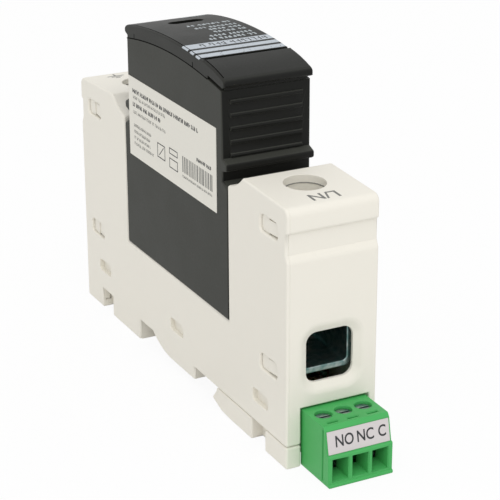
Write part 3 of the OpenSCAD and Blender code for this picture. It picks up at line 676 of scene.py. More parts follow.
def dress(piece: Piece, look: Look, body: str, slot: str) -> Piece:
    """Gives a piece its finish and sets it on its body.

    Args:
        piece: The piece, in place.
        look: Its finish.
        body: The CAD body that carries it.
        slot: The record's material slot; not used.

    Returns:
        The same piece.
    """
    piece.data.materials.clear()
    piece.data.materials.append(look.value.material())
    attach(piece, body)
    log.info("%s: %d faces, on %s", piece.name, len(piece.data.polygons), body)
    return piece


def opening(edge: Edge, other: Edge, vert: Vert) -> float:
    """Gives the angle between two edges at the corner that they share."""
    return (edge.other_vert(vert).co - vert.co).angle(other.other_vert(vert).co - vert.co)


def is_sharp(edge: Edge) -> bool:
    """Tells whether an edge is a visible corner of the solid."""
    return len(edge.link_faces) == 2 and edge.calc_face_angle(math.pi) > SHARP


def join_flats(mesh: Mesh) -> None:
    """Joins the triangles of each flat; cuts that have to stay are those that leave outer edges squarely.

    Args:
        mesh: A welded mesh of triangles.
    """

    def cuts() -> list[Edge]:
        """Lists the edges that lie inside a flat."""
        return [e for e in mesh.edges if len(e.link_faces) == 2 and e.calc_face_angle(math.pi) < FLAT]

    bmesh.ops.beautify_fill(mesh, faces=mesh.faces, edges=cuts(), method="ANGLE")
    mesh.edges.index_update()
    outer = {edge for edge in mesh.edges if is_sharp(edge) and edge.is_convex}

    def squareness(cut: Edge) -> tuple[float, int]:
        """Gives the least angle between a cut and the outer edges that it meets."""
        angles = [opening(cut, rim, vert) for vert in cut.verts for rim in vert.link_edges if rim in outer]
        return round(min(angles, default=math.pi), 4), cut.index

    for cut in sorted(cuts(), key=squareness):
        if cut.is_valid and len(cut.link_faces) == 2:
            bmesh.utils.face_join(cut.link_faces)
    bmesh.ops.dissolve_limit(mesh, angle_limit=FLAT, verts=mesh.verts, edges=[])


def welded(node: str, reshape: Reshape | None = None) -> Mesh:
    """Copies a CAD node as a clean mesh with few faces to a flat.

    Args:
        node: Name of the CAD node.
        reshape: Small change to the mesh before its flats are joined.

    Returns:
        The mesh, to be freed by the caller.
    """
    mesh = bmesh.new()
    mesh.from_mesh(frame["nodes"][node].data)
    if reshape is not None:
        reshape(mesh)
    bmesh.ops.remove_doubles(mesh, verts=mesh.verts, dist=WELD)
    bmesh.ops.dissolve_degenerate(mesh, dist=SPECK, edges=mesh.edges)
    bmesh.ops.recalc_face_normals(mesh, faces=mesh.faces)
    join_flats(mesh)
    return mesh


def grouped(items: Sequence[Item], beside: Callable[[Item], Iterable[Item]]) -> list[list[Item]]:
    """Sorts items into groups that hang together.

    Args:
        items: The items that groups start from.
        beside: Lists the items that share a group with one item.

    Returns:
        The groups.
    """
    known: set[Item] = set()
    groups = []
    for start in items:
        if start in known:
            continue
        known.add(start)
        group: list[Item] = []
        ahead = [start]
        while ahead:
            item = ahead.pop()
            group.append(item)
            for other in beside(item):
                if other not in known:
                    known.add(other)
                    ahead.append(other)
        groups.append(group)
    return groups


def edge_runs(edges: Sequence[Edge], most_turn: float) -> list[list[Edge]]:
    """Sorts edges into runs.

    Args:
        edges: The edges to sort.
        most_turn: The sharpest turn from one edge of a run to its next.

    Returns:
        The runs.
    """
    among = set(edges)

    def beside(edge: Edge) -> list[Edge]:
        """Lists the edges that carry on the run of one edge."""
        met = ((other, vert) for vert in edge.verts for other in vert.link_edges if other in among)
        return [other for other, vert in met if math.pi - opening(edge, other, vert) <= most_turn]

    return grouped(edges, beside)


def flats(edges: Sequence[Edge]) -> list[list[Face]]:
    """Collects the flats beside some edges, each as the faces that cuts divide it into.

    Args:
        edges: The edges.

    Returns:
        The flats.
    """

    def beside(face: Face) -> list[Face]:
        """Lists the faces across the cuts of one face."""
        cuts = [edge for edge in face.edges if edge.calc_face_angle(math.pi) < FLAT]
        return [other for cut in cuts for other in cut.link_faces]

    return grouped([face for edge in edges for face in edge.link_faces], beside)


class Rims:
    """The outline of one flat, all its holes included, as arrays."""

    def __init__(self, flat: Sequence[Face]) -> None:
        """Reads the outline's edges with their inward directions.

        Args:
            flat: The faces of the flat.
        """
        loops = [loop for face in flat for loop in face.loops if loop.edge.calc_face_angle(math.pi) >= FLAT]
        self.edges = [loop.edge for loop in loops]
        self.ends = np.array([[loop.vert.index, loop.link_loop_next.vert.index] for loop in loops])
        self.start = np.array([loop.vert.co for loop in loops])
        stop = np.array([loop.link_loop_next.vert.co for loop in loops])
        self.length = np.linalg.norm(stop - self.start, axis=1)
        self.along = (stop - self.start) / self.length[:, None]
        self.inward = np.cross(np.array(flat[0].normal), self.along)
        self.marks = np.stack([self.start, (self.start + stop) / 2, stop])

    def room(self, place: int) -> np.ndarray:
        """Measures the room between one rim and each other rim that it faces.

        Args:
            place: Number of the rim.

        Returns:
            The distances in metres, infinite for rims that it doesn't face.
        """
        out = self.marks - self.start[place]
        seen = self._ahead(out @ self.along[place], out @ self.inward[place], self.length[place])
        back = self.marks[:, place, None, :] - self.start
        met = self._ahead((back * self.along).sum(axis=2), (back * self.inward).sum(axis=2), self.length)
        gaps = np.minimum(seen.min(axis=0), met.min(axis=0))
        gaps[(self.ends[:, :, None] == self.ends[place]).any(axis=(1, 2))] = np.inf
        return gaps

    @staticmethod
    def _ahead(along: np.ndarray, inward: np.ndarray, length: Any) -> np.ndarray:
        """Keeps the inward distances of points that lie in front of a rim."""
        return np.where((along > -WELD) & (along < length + WELD) & (inward > 2 * WELD), inward, np.inf)


class Rounding:
    """The widths of rounded edges: smooth runs share one, and no rim or corner eats up its neighbour."""

    def __init__(self, edges: Sequence[Edge], rule: EdgeRule) -> None:
        """Sets the widths that the rule wants, and narrows them to the room there is.

        Args:
            edges: The edges to round.
            rule: Edge width in millimetres from an edge's middle and its run's length, both in millimetres.
        """
        wanted = {}
        for run in edge_runs(edges, math.pi):
            length = sum(e.calc_length() for e in run) / MM
            for edge in run:
                middle = (edge.verts[0].co + edge.verts[1].co) / 2 / MM
                wanted[edge] = rule(middle, length) * MM
        runs = edge_runs(edges, SMOOTH_TURN)
        self.run_of = {edge: i for i, run in enumerate(runs) for edge in run}
        self.widths = [min(wanted[edge] for edge in run) for run in runs]
        self.facing = self.find_facing(edges)
        self.fit()

    def width(self, edge: Edge) -> float:
        """Gives an edge's width in metres, zero where it stays sharp."""
        return self.widths[self.run_of[edge]] if edge in self.run_of else 0.0

    def find_facing(self, edges: Sequence[Edge]) -> list[tuple[Edge, Edge, float]]:
        """Lists the rims that face each other across a flat with too little room between them.

        Args:
            edges: The edges to round.

        Returns:
            Two edges and their room in metres, each.
        """
        tight = []
        for rims in map(Rims, flats(edges)):
            widths = np.array([self.width(edge) for edge in rims.edges])
            for i in np.flatnonzero(widths):
                room = (1 - KEPT_SHARE) * rims.room(i)
                near = np.flatnonzero(room < widths[i] + widths)
                tight += [(rims.edges[i], rims.edges[j], room[j]) for j in near]
        return tight

    def narrow(self, edges: Sequence[Edge], share: float) -> None:
        """Narrows the runs of some edges to a share of their widths."""
        for place in {self.run_of[edge] for edge in edges if edge in self.run_of}:
            self.widths[place] *= share

    def eaten(self, edge: Edge, vert: Vert) -> tuple[float, Edge]:
        """Works out how much of an edge the rounded edges at one of its ends take up.

        Args:
            edge: The edge, rounded or not.
            vert: Its end.

        Returns:
            The length in metres, and the edge that takes it.
        """
        own, most, eater = self.width(edge), 0.0, edge
        for other in vert.link_edges:
            if other is not edge and other in self.run_of:
                angle = opening(edge, other, vert)
                if own or angle < math.pi - SMOOTH_TURN:
                    reach = (self.width(other) + own * math.cos(angle)) / max(math.sin(angle), LEAST_SINE)
                    if reach > most:
                        most, eater = reach, other
        return most, eater

    def fit(self, passes: int = 40) -> None:
        """Narrows the runs until each edge beside them keeps a part of its length.

        Args:
            passes: The most rounds of narrowing.
        """
        beside = {e.index: e for edge in self.run_of for vert in edge.verts for e in vert.link_edges}
        for _ in range(passes):
            tight = False
            for edge in beside.values():
                shares, eaters = zip(*(self.eaten(edge, vert) for vert in edge.verts))
                room = (1 - KEPT_SHARE) * edge.calc_length()
                if sum(shares) > TIGHT * room:
                    tight = True
                    self.narrow(eaters, room / sum(shares))
            for first, second, room in self.facing:
                taken = self.width(first) + self.width(second)
                if taken > TIGHT * room:
                    tight = True
                    self.narrow((first, second), room / taken)
            if not tight:
                return


def skin(
    node: str, look: Look, rule: EdgeRule, segments: int = 3, reshape: Reshape | None = None
) -> Piece:
    """Builds a CAD node's visible skin, with rounded edges, in place of the node.

    Args:
        node: Name of the CAD node.
        look: Its finish.
        rule: Edge width in millimetres from an edge's middle and its run's length, both in millimetres.
        segments: Steps across a rounded edge.
        reshape: Small change to the mesh before its edges are rounded.

    Returns:
        The dressed piece.
    """
    mesh = welded(node, reshape)
    piece = round_off(f"{node}_skin", mesh, rule, segments)
    mesh.free()
    dress(piece, look, BODY_OF[node], SLOT_OF[node])
    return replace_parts(piece, node)


def round_off(name: str, mesh: Mesh, rule: EdgeRule, segments: int) -> Piece:
    """Makes an object whose sharp outer edges are rounded by a bevel of varying width.

    Args:
        name: Name of the new piece.
        mesh: The clean mesh.
        rule: Edge width in millimetres from an edge's middle and its run's length, both in millimetres.
        segments: Steps across a rounded edge.

    Returns:
        The new object.
    """
    mesh.verts.index_update()
    mesh.edges.index_update()
    sharp = [edge for edge in mesh.edges if is_sharp(edge)]
    rounding = Rounding([e for e in sharp if e.is_convex], rule)
    widest = max(rounding.widths, default=0.0)
    data = bpy.data.meshes.new(name)
    mesh.to_mesh(data)
    data.polygons.foreach_set("use_smooth", [True] * len(data.polygons))
    weights = data.attributes.new("bevel_weight_edge", "FLOAT", "EDGE")
    creases = data.attributes.new("sharp_edge", "BOOLEAN", "EDGE")
    for edge in sharp:
        weights.data[edge.index].value = rounding.width(edge) / widest if widest else 0.0
        creases.data[edge.index].value = True
    piece = link(name, data)
    if widest:
        bevel = piece.modifiers.new("mould radius", "BEVEL")
        bevel.limit_method = "WEIGHT"
        bevel.width = widest
        bevel.segments = segments
        bevel.use_clamp_overlap = False
        bevel.harden_normals = True
    return piece


def even(width_mm: float) -> EdgeRule:
    """Gives the rule of one width for all edges."""
    return lambda middle, length: width_mm


def settle(name: str, mesh: Mesh) -> Piece:
    """Turns a finished mesh into a piece, with its faces looking outwards.

    Args:
        name: Name of the new piece.
        mesh: The mesh, which is freed.

    Returns:
        The new object.
    """
    bmesh.ops.recalc_face_normals(mesh, faces=mesh.faces)
    data = bpy.data.meshes.new(name)
    mesh.to_mesh(data)
    mesh.free()
    return link(name, data)


def tube(mesh: Mesh, rings: Sequence[list[Vert]], smooth: bool = False) -> None:
    """Closes a row of rings into a tube with flat ends.

    Args:
        mesh: The mesh to add to.
        rings: Rings of as many points each, from one end to the other.
        smooth: Whether the tube's sides are shaded smoothly.
    """
    for lower, upper in zip(rings, rings[1:]):
        for i in range(len(lower)):
            j = (i + 1) % len(lower)
            mesh.faces.new((lower[i], lower[j], upper[j], upper[i])).smooth = smooth
    mesh.faces.new(rings[0][::-1])
    mesh.faces.new(rings[-1])


def prisms(name: str, shapes: Sequence[Polygon], place: Placement, low: float, high: float) -> Piece:
    """Builds thin closed prisms from flat outlines.

    Args:
        name: Name of the new piece.
        shapes: Outlines in millimetres, in the surface's own two directions.
        place: Maps the two directions and a height, in millimetres, into the part's frame.
        low: Height of the underside in millimetres.
        high: Height of the top in millimetres.

    Returns:
        The new object.
    """
    mesh = bmesh.new()
    for shape in shapes:
        tube(mesh, [[mesh.verts.new(place(u, v, height)) for u, v in shape] for height in (low, high)])
    return settle(name, mesh)


def quarter_arc(u: float, v: float, radius: float, first: int, steps: int) -> Polygon:
    """Gives the points of a quarter turn.

    Args:
        u: Sideways place of its centre.
        v: Upward place of its centre.
        radius: Its radius.
        first: Its start in quarter turns.
        steps: Number of steps.

    Returns:
        The points from start to end.
    """
    angles = [math.pi / 2 * (first + k / steps) for k in range(steps + 1)]
    return [(u + radius * math.cos(angle), v + radius * math.sin(angle)) for angle in angles]


def bar(u: float, v: float, width: float, height: float) -> Polygon:
    """Gives a rectangle from its lower left corner."""
    return [(u, v), (u + width, v), (u + width, v + height), (u, v + height)]


def frame_bars(u: float, v: float, width: float, height: float, line: float) -> list[Polygon]:
    """Gives the four bars of a drawn box.

    Args:
        u: Left edge.
        v: Lower edge.
        width: Outer width.
        height: Outer height.
        line: Width of the line.

    Returns:
        Four rectangles.
    """
    return [
        bar(u, v, width, line),
        bar(u, v + height - line, width, line),
        bar(u, v + line, line, height - 2 * line),
        bar(u + width - line, v + line, line, height - 2 * line),
    ]


@dataclass(frozen=True)
class MockPrint:
    """Strokes that stand for small print without being letters; sizes are shares of a sign's height."""

    word_signs: tuple[int, int] = (2, 7)
    sign_width: Point = (0.42, 0.62)
    sign_gap: float = 0.24
    word_gap: float = 0.45
    least_room: float = 0.6
    levels: Triple = (0.0, 0.5, 1.0)
    stem_chance: float = 0.55
    stem: float = 0.45

    def row(
        self, dice: random.Random, start: Point, length: float, height: float, weight: float
    ) -> list[Polygon]:
        """Sets one row.

        Args:
            dice: Source of the pattern.
            start: Left end of the row's foot.
            length: Length of the row.
            height: Height of its signs.
            weight: Width of a stroke as a share of the height.

        Returns:
            The strokes.
        """
        strokes: list[Polygon] = []
        line = height * weight
        u, v = start
        end = u + length
        while u < end - self.least_room * height:
            for _ in range(dice.randint(*self.word_signs)):
                wide = height * dice.uniform(*self.sign_width)
                if u + wide > end:
                    break
                strokes.append(bar(u, v, line, height))
                level = dice.choice(self.levels)
                strokes.append(bar(u + line, v + level * (height - line), wide - line, line))
                if dice.random() < self.stem_chance:
                    strokes.append(bar(u + wide - line, v + line, line, height * self.stem))
                u += wide + self.sign_gap * height
            u += self.word_gap * height
        return strokes


@dataclass(frozen=True)
class Lettering:
    """Generic marks, cut from the built-in letters."""

    height_mm: float
    bold_mm: float
    depth_mm: float
    width_share: float = 1.0
    capital_share: float = 0.69
    curve_steps: int = 4

    def cut(self, name: str, words: str, place: Matrix) -> Piece:
        """Cuts one mark.

        Args:
            name: Name of the new piece.
            words: The mark.
            place: Moves letters in the XY plane, in metres, to their place.

        Returns:
            The new object.
        """
        curve = bpy.data.curves.new(name, "FONT")
        curve.body = words
        curve.size = self.height_mm * MM / self.capital_share
        curve.align_x = "CENTER"
        curve.align_y = "CENTER"
        curve.offset = self.bold_mm * MM
        curve.extrude = self.depth_mm * MM / 2
        curve.resolution_u = self.curve_steps
        carrier = link(name, curve)
        evaluated = carrier.evaluated_get(bpy.context.evaluated_depsgraph_get())
        mesh = bmesh.new()
        mesh.from_mesh(evaluated.to_mesh())
        bpy.data.objects.remove(carrier)
        bmesh.ops.remove_doubles(mesh, verts=mesh.verts, dist=WELD / 4)
        mesh.transform(place @ Matrix.Diagonal((self.width_share, 1.0, 1.0, 1.0)))
        return settle(name, mesh)


@dataclass(frozen=True)
class CutScrew:
    """A screw along Z, with a cut thread under the CAD screw's own head."""

    look: Look
    head_mm: float
    pitch_mm: float
    head_edge: float = 0.07
    sides: int = 32
    steps: int = 8
    thread_depth: float = 0.54
    tip_slope: float = 0.9
    margin_mm: float = 0.2
    cut_mm: float = 0.02
    overlap_mm: float = 0.2

    def add_rod(self, mesh: Mesh, axis: Point, span: Point, radius: float) -> None:
        """Adds the threaded rod with its chamfered tip.

        Args:
            mesh: The mesh to add to.
            axis: X and Y of the axis in metres.
            span: Lowest and highest Z in metres.
            radius: Radius at the crests in metres.
        """
        pitch = self.pitch_mm * MM
        depth = self.thread_depth * pitch
        low, high = span
        count = round((high - low) / pitch * self.steps)
        rings = []
        for k in range(count + 1):
            z = low + (high - low) * k / count
            ring = []
            for j in range(self.sides):
                phase = (z / pitch - j / self.sides) % 1.0
                crest = radius - depth * abs(2 * phase - 1)
                reach = min(crest, radius - depth + self.tip_slope * (z - low))
                angle = 2 * math.pi * j / self.sides
                where = (axis[0] + reach * math.cos(angle), axis[1] + reach * math.sin(angle), z)
                ring.append(mesh.verts.new(where))
            rings.append(ring)
        tube(mesh, rings)

    def build(self, node: str) -> Piece:
        """Builds the screw in the place of a CAD screw.

        Args:
            node: Name of the CAD screw.

        Returns:
            The dressed piece.
        """
        low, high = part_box(node)
        head_z = high.z - self.head_mm * MM
        axis = ((low.x + high.x) / 2, (low.y + high.y) / 2)
        mesh = welded(node)
        below = [v.co for v in mesh.verts if v.co.z < head_z - self.margin_mm * MM]
        shank = max(math.hypot(co.x - axis[0], co.y - axis[1]) for co in below)
        cut = head_z + self.cut_mm * MM
        whole = [*mesh.verts, *mesh.edges, *mesh.faces]
        bmesh.ops.bisect_plane(mesh, geom=whole, plane_co=(0, 0, cut), plane_no=(0, 0, 1), clear_inner=True)
        bmesh.ops.holes_fill(mesh, edges=[e for e in mesh.edges if e.is_boundary])
        bmesh.ops.recalc_face_normals(mesh, faces=mesh.faces)
        piece = round_off(f"{node}_cut", mesh, even(self.head_edge * self.head_mm), 2)
        mesh.free()
        joined = bmesh.new()
        joined.from_mesh(piece.data)
        self.add_rod(joined, axis, (low.z, cut + self.overlap_mm * MM), shank)
        joined.to_mesh(piece.data)
        joined.free()
        dress(piece, self.look, BODY_OF[node], SLOT_OF[node])
        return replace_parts(piece, node)


@dataclass(frozen=True)
class CoilSpring:
    """A compression spring along Y, wound of round wire with a closed turn at each end."""

    turns: float
    wire_mm: float
    sides: int = 10
    steps: int = 28

    def build(self, node: str, bodies: tuple[str, str]) -> Piece:
        """Winds the spring in the place of a CAD spring, fixed in the part's frame.

        Args:
            node: Name of the CAD spring.
            bodies: Names of the bodies at its low and high Y end.

        Returns:
            The dressed piece.
        """
        wire = self.wire_mm * MM
        low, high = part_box(node)
        middle = (low + high) / 2
        radius = (high.x - low.x - wire) / 2
        active = self.turns - 2
        rise = (high.y - low.y - 3 * wire) / active
        mesh = bmesh.new()
        rings = []
        for i in range(round(self.turns * self.steps) + 1):
            t = i / self.steps
            closed = min(t, 1.0) + max(t - 1 - active, 0.0)
            climb = wire * closed + rise * min(max(t - 1, 0.0), active)
            angle = 2 * math.pi * t
            ring = []
            for k in range(self.sides):
                bend = 2 * math.pi * k / self.sides
                reach = radius + wire / 2 * math.cos(bend)
                y = low.y + wire / 2 + climb + wire / 2 * math.sin(bend)
                where = (middle.x + reach * math.cos(angle), y, middle.z + reach * math.sin(angle))
                ring.append(mesh.verts.new(where))
            rings.append(ring)
        tube(mesh, rings, smooth=True)
        piece = settle(f"{node}_wire", mesh)
        piece.data.materials.append(Look.STEEL.value.material())
        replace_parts(piece, node)
        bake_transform(piece)
        log.info("%s: %d faces, between %s and %s", piece.name, len(piece.data.polygons), *bodies)
        return piece


@dataclass
class BaseHousing:
    """Base mouldings with their soft edges, the sliding foot and the marks by the terminals."""

    edge: float = 0.42
    hairline: float = 0.06
    rim: float = 0.14
    window_rim: float = 0.45
    flare_edge: float = 0.6
    end_face: float = 44.0
    window_top: float = 23.5
    ledge: float = 0.02
    cover_joint_x: float = -8.4
    joint_reach: float = 0.05
    cover_face_x: float = -8.95
    long_run: float = 150.0
    hole_y: float = 34.7
    hole_reach: float = 4.0
    hole_top: float = 44.0
    ring_z: float = 43.3
    ring_radii: Point = (3.55, 3.82)
    ring_heights: Point = (-0.05, 0.03)
    ring_steps: int = 48
    shoulder_inner: Point = (28.476, 44.9)
    shoulder_end: Point = (45.0, 44.25)
    mark: Lettering = Lettering(height_mm=2.6, bold_mm=0.06, depth_mm=0.02)
    mark_y: float = 41.35
    earth_x: float = -2.6
    earth_line: float = 0.36
    earth_rungs: Triple = (3.6, 2.3, 1.0)
    earth_heights: Point = (-0.02, 0.01)
    snap_ends: tuple[Point, ...] = ((-37.66, -35.1), (38.72, 41.3))
    snap_z: Point = (13.0, 39.1)
    snap_half: float = 1.45
    snap_corner: float = 0.8
    snap_steps: int = 4
    snap_face: float = -8.45
    snap_depth: float = 0.9

    def edge_width(self, middle: Vector, length: float) -> float:
        """Gives an edge's radius: a hairline at the joint of the mouldings, soft outside, fine at openings.

        Args:
            middle: Middle of the edge in millimetres.
            length: Length of its run.

        Returns:
            The width in millimetres.
        """
        if abs(middle.x - self.cover_joint_x) < self.joint_reach:
            return self.hairline
        if math.hypot(middle.x, abs(middle.y) - self.hole_y) < self.hole_reach and middle.z < self.hole_top:
            return self.ledge
        if length > self.long_run:
            return self.edge
        if abs(middle.y) > self.end_face and middle.z < self.window_top:
            return self.flare_edge
        return self.window_rim if middle.x < self.cover_face_x else self.rim

    def shoulder_place(self, end: int) -> Matrix:
        """Gives the place of a mark on a shoulder, read from the cartridge.

        Args:
            end: -1 for the near shoulder, 1 for the far one.

        Returns:
            The matrix that lays letters in the XY plane there.
        """
        (y0, z0), (y1, z1) = self.shoulder_inner, self.shoulder_end
        fall = (z0 - z1) / (y1 - y0)
        z = z0 - fall * (self.mark_y - y0)
        turn = Matrix.Rotation(math.pi, 4, "Z") if end < 0 else Matrix.Identity(4)
        tilt = Matrix.Rotation(-end * math.atan(fall), 4, "X")
        return Matrix.Translation(Vector((0, end * self.mark_y, z)) * MM) @ tilt @ turn

    def snap_floors(self) -> Piece:
        """Builds the shallow floors that show beside the barbs in the snap windows.

        Returns:
            The floors, rounded at their outer ends, as one piece.
        """
        shapes: list[Polygon] = []
        half, corner = self.snap_half, self.snap_corner
        for square, end in self.snap_ends:
            outward = math.copysign(1.0, end - square)
            for z in self.snap_z:
                bow = quarter_arc(-corner, z - half + corner, corner, -1, self.snap_steps)
                bow += quarter_arc(-corner, z + half - corner, corner, 0, self.snap_steps)
                bowed = [(end + outward * u, v) for u, v in bow]
                shapes.append([(square, z - half), *bowed, (square, z + half)])

        def place(u: float, v: float, height: float) -> Vector:
            """Maps Y, Z and a height over the floors to the part's frame."""
            return Vector((self.snap_face - height, u, v)) * MM

        return prisms("snap_floors", shapes, place, -self.snap_depth, 0.0)

    def joint_shadow_ring(self, name: str, end: int) -> Piece:
        """Lays a fine dark ring of painted shadow for the joint round the guide sleeve in a screw hole.

        Args:
            name: Name of the new piece.
            end: -1 for the near hole, 1 for the far one.

        Returns:
            The ring.
        """
        inner, outer = self.ring_radii
        turns = [2 * math.pi * i / self.ring_steps for i in range(self.ring_steps + 1)]
        arcs: list[Polygon] = []
        for first, second in zip(turns, turns[1:]):
            corners = ((inner, first), (outer, first), (outer, second), (inner, second))
            arcs.append([(radius * math.cos(a), radius * math.sin(a)) for radius, a in corners])

        def place(u: float, v: float, height: float) -> Vector:
            """Maps the ring, from its middle, to the part's frame."""
            return Vector((u, end * self.hole_y + v, self.ring_z + height)) * MM

        return prisms(name, arcs, place, *self.ring_heights)

    def earth_mark(self) -> Piece:
        """Draws the earth sign on the far shoulder: a stem on three shrinking rungs.

        Returns:
            The mark.
        """
        x, line = self.earth_x, self.earth_line
        sign = [bar(x - line / 2, line, line, self.mark.height_mm / 2)]
        sign += [bar(x - wide / 2, -2 * line * i, wide, line) for i, wide in enumerate(self.earth_rungs)]
        lay = self.shoulder_place(1)
        return prisms("earth_mark", sign, lambda u, v, h: lay @ (Vector((u, v, h)) * MM), *self.earth_heights)

    def build(self) -> None:
        """Builds the mouldings and prints the terminal marks."""
        for node in ("base_shell", "base_cover", "rail_clip"):
            skin(node, Look.HOUSING, self.edge_width)
        near = self.mark.cut("line_mark", "L/N", self.shoulder_place(-1))
        dress(near, Look.GREY_INK_AND_SHADOW, "base", "marking_strip")
        dress(self.snap_floors(), Look.HOUSING, "base", SLOT_OF["base_shell"])
        # The rings are painted shadow of the sleeve's joint, in the grey ink's colour.
        for end, name in ((-1, "line_hole_shadow"), (1, "earth_hole_shadow")):
            dress(self.joint_shadow_ring(name, end), Look.GREY_INK_AND_SHADOW, "base", SLOT_OF["base_shell"])
        dress(self.earth_mark(), Look.GREY_INK_AND_SHADOW, "base", "marking_strip")


@dataclass
class Terminals:
    """Lift cages, their screws, the busbars and the spring forks at both ends."""

    cage_edge: float = 0.3
    strip_edge: float = 0.12
    screw: CutScrew = CutScrew(Look.ZINC, head_mm=3.0, pitch_mm=0.8)

    def build(self) -> None:
        """Builds the two terminals."""
        for end in ("line", "earth"):
            skin(f"{end}_cage", Look.CAGE, even(self.cage_edge))
            self.screw.build(f"{end}_screw")
            skin(f"{end}_busbar", Look.TIN, even(self.strip_edge), 2)
            skin(f"{end}_contact", Look.COPPER, even(self.strip_edge), 2)


@dataclass
class Signalling:
    """The switch under the bay, its leads, and the header for the plug."""

    case_edge: float = 0.25
    metal_edge: float = 0.1
    spring: CoilSpring = CoilSpring(turns=7.0, wire_mm=0.5)

    def build(self) -> None:
        """Builds the signalling parts that stay in the base, and the clip's spring."""
        skin("signal_switch", Look.BLACK, even(self.case_edge))
        skin("switch_plunger", Look.BLACK, even(self.case_edge))
        skin("signal_header", Look.GREEN, even(self.case_edge))
        skin("signal_leads", Look.COPPER, even(self.metal_edge), 2)
        skin("header_pins", Look.ZINC, even(self.metal_edge), 2)
        self.spring.build("clip_spring", ("base", "rail_clip"))


@dataclass
class SignalPlug:
    """The three-pole plug with its clamps, screws, contacts and marking strip."""

    edge: float = 0.22
    metal_edge: float = 0.08
    film_edge: float = 0.04
    screw: CutScrew = CutScrew(Look.CAGE, head_mm=1.0, pitch_mm=0.4)
    mark: Lettering = Lettering(height_mm=2.0, bold_mm=0.04, depth_mm=0.03, width_share=0.82)
    marks: tuple[tuple[str, float], ...] = (("NO", -2.15), ("NC", 2.0), ("C", 5.35))
    strip_low: Point = (-53.65, 1.75)
    strip_high: Point = (-52.8, 5.8)
    strip_depth: float = 0.15

    def strip_place(self, x: float) -> Matrix:
        """Gives the place of a mark on the sloping strip.

        Args:
            x: Sideways place of the mark in millimetres.

        Returns:
            The matrix that stands letters on the strip.
        """
        (y0, z0), (y1, z1) = self.strip_low, self.strip_high
        up = Vector((0, y1 - y0, z1 - z0)).normalized()
        out = Vector((1, 0, 0)).cross(up)
        middle = Vector((x, (y0 + y1) / 2, (z0 + z1) / 2)) + out * self.strip_depth
        axes = Matrix((Vector((1, 0, 0)), up, out)).transposed().to_4x4()
        return Matrix.Translation(middle * MM) @ axes

    def build(self) -> None:
        """Builds the plug and prints its marks."""
        skin("plug_body", Look.GREEN, even(self.edge))
        skin("plug_contacts", Look.COPPER, even(self.metal_edge), 2)
        skin("plug_label", Look.STRIP, even(self.film_edge), 2)
        for i in (1, 2, 3):
            skin(f"plug_clamp_{i}", Look.ZINC, even(self.metal_edge), 2)
            self.screw.build(f"plug_screw_{i}")
        for i, (word, x) in enumerate(self.marks, 1):
            mark = self.mark.cut(f"pole_mark_{i}", word, self.strip_place(x))
            dress(mark, Look.DARK_INK, "signal_plug", "marking_strip")


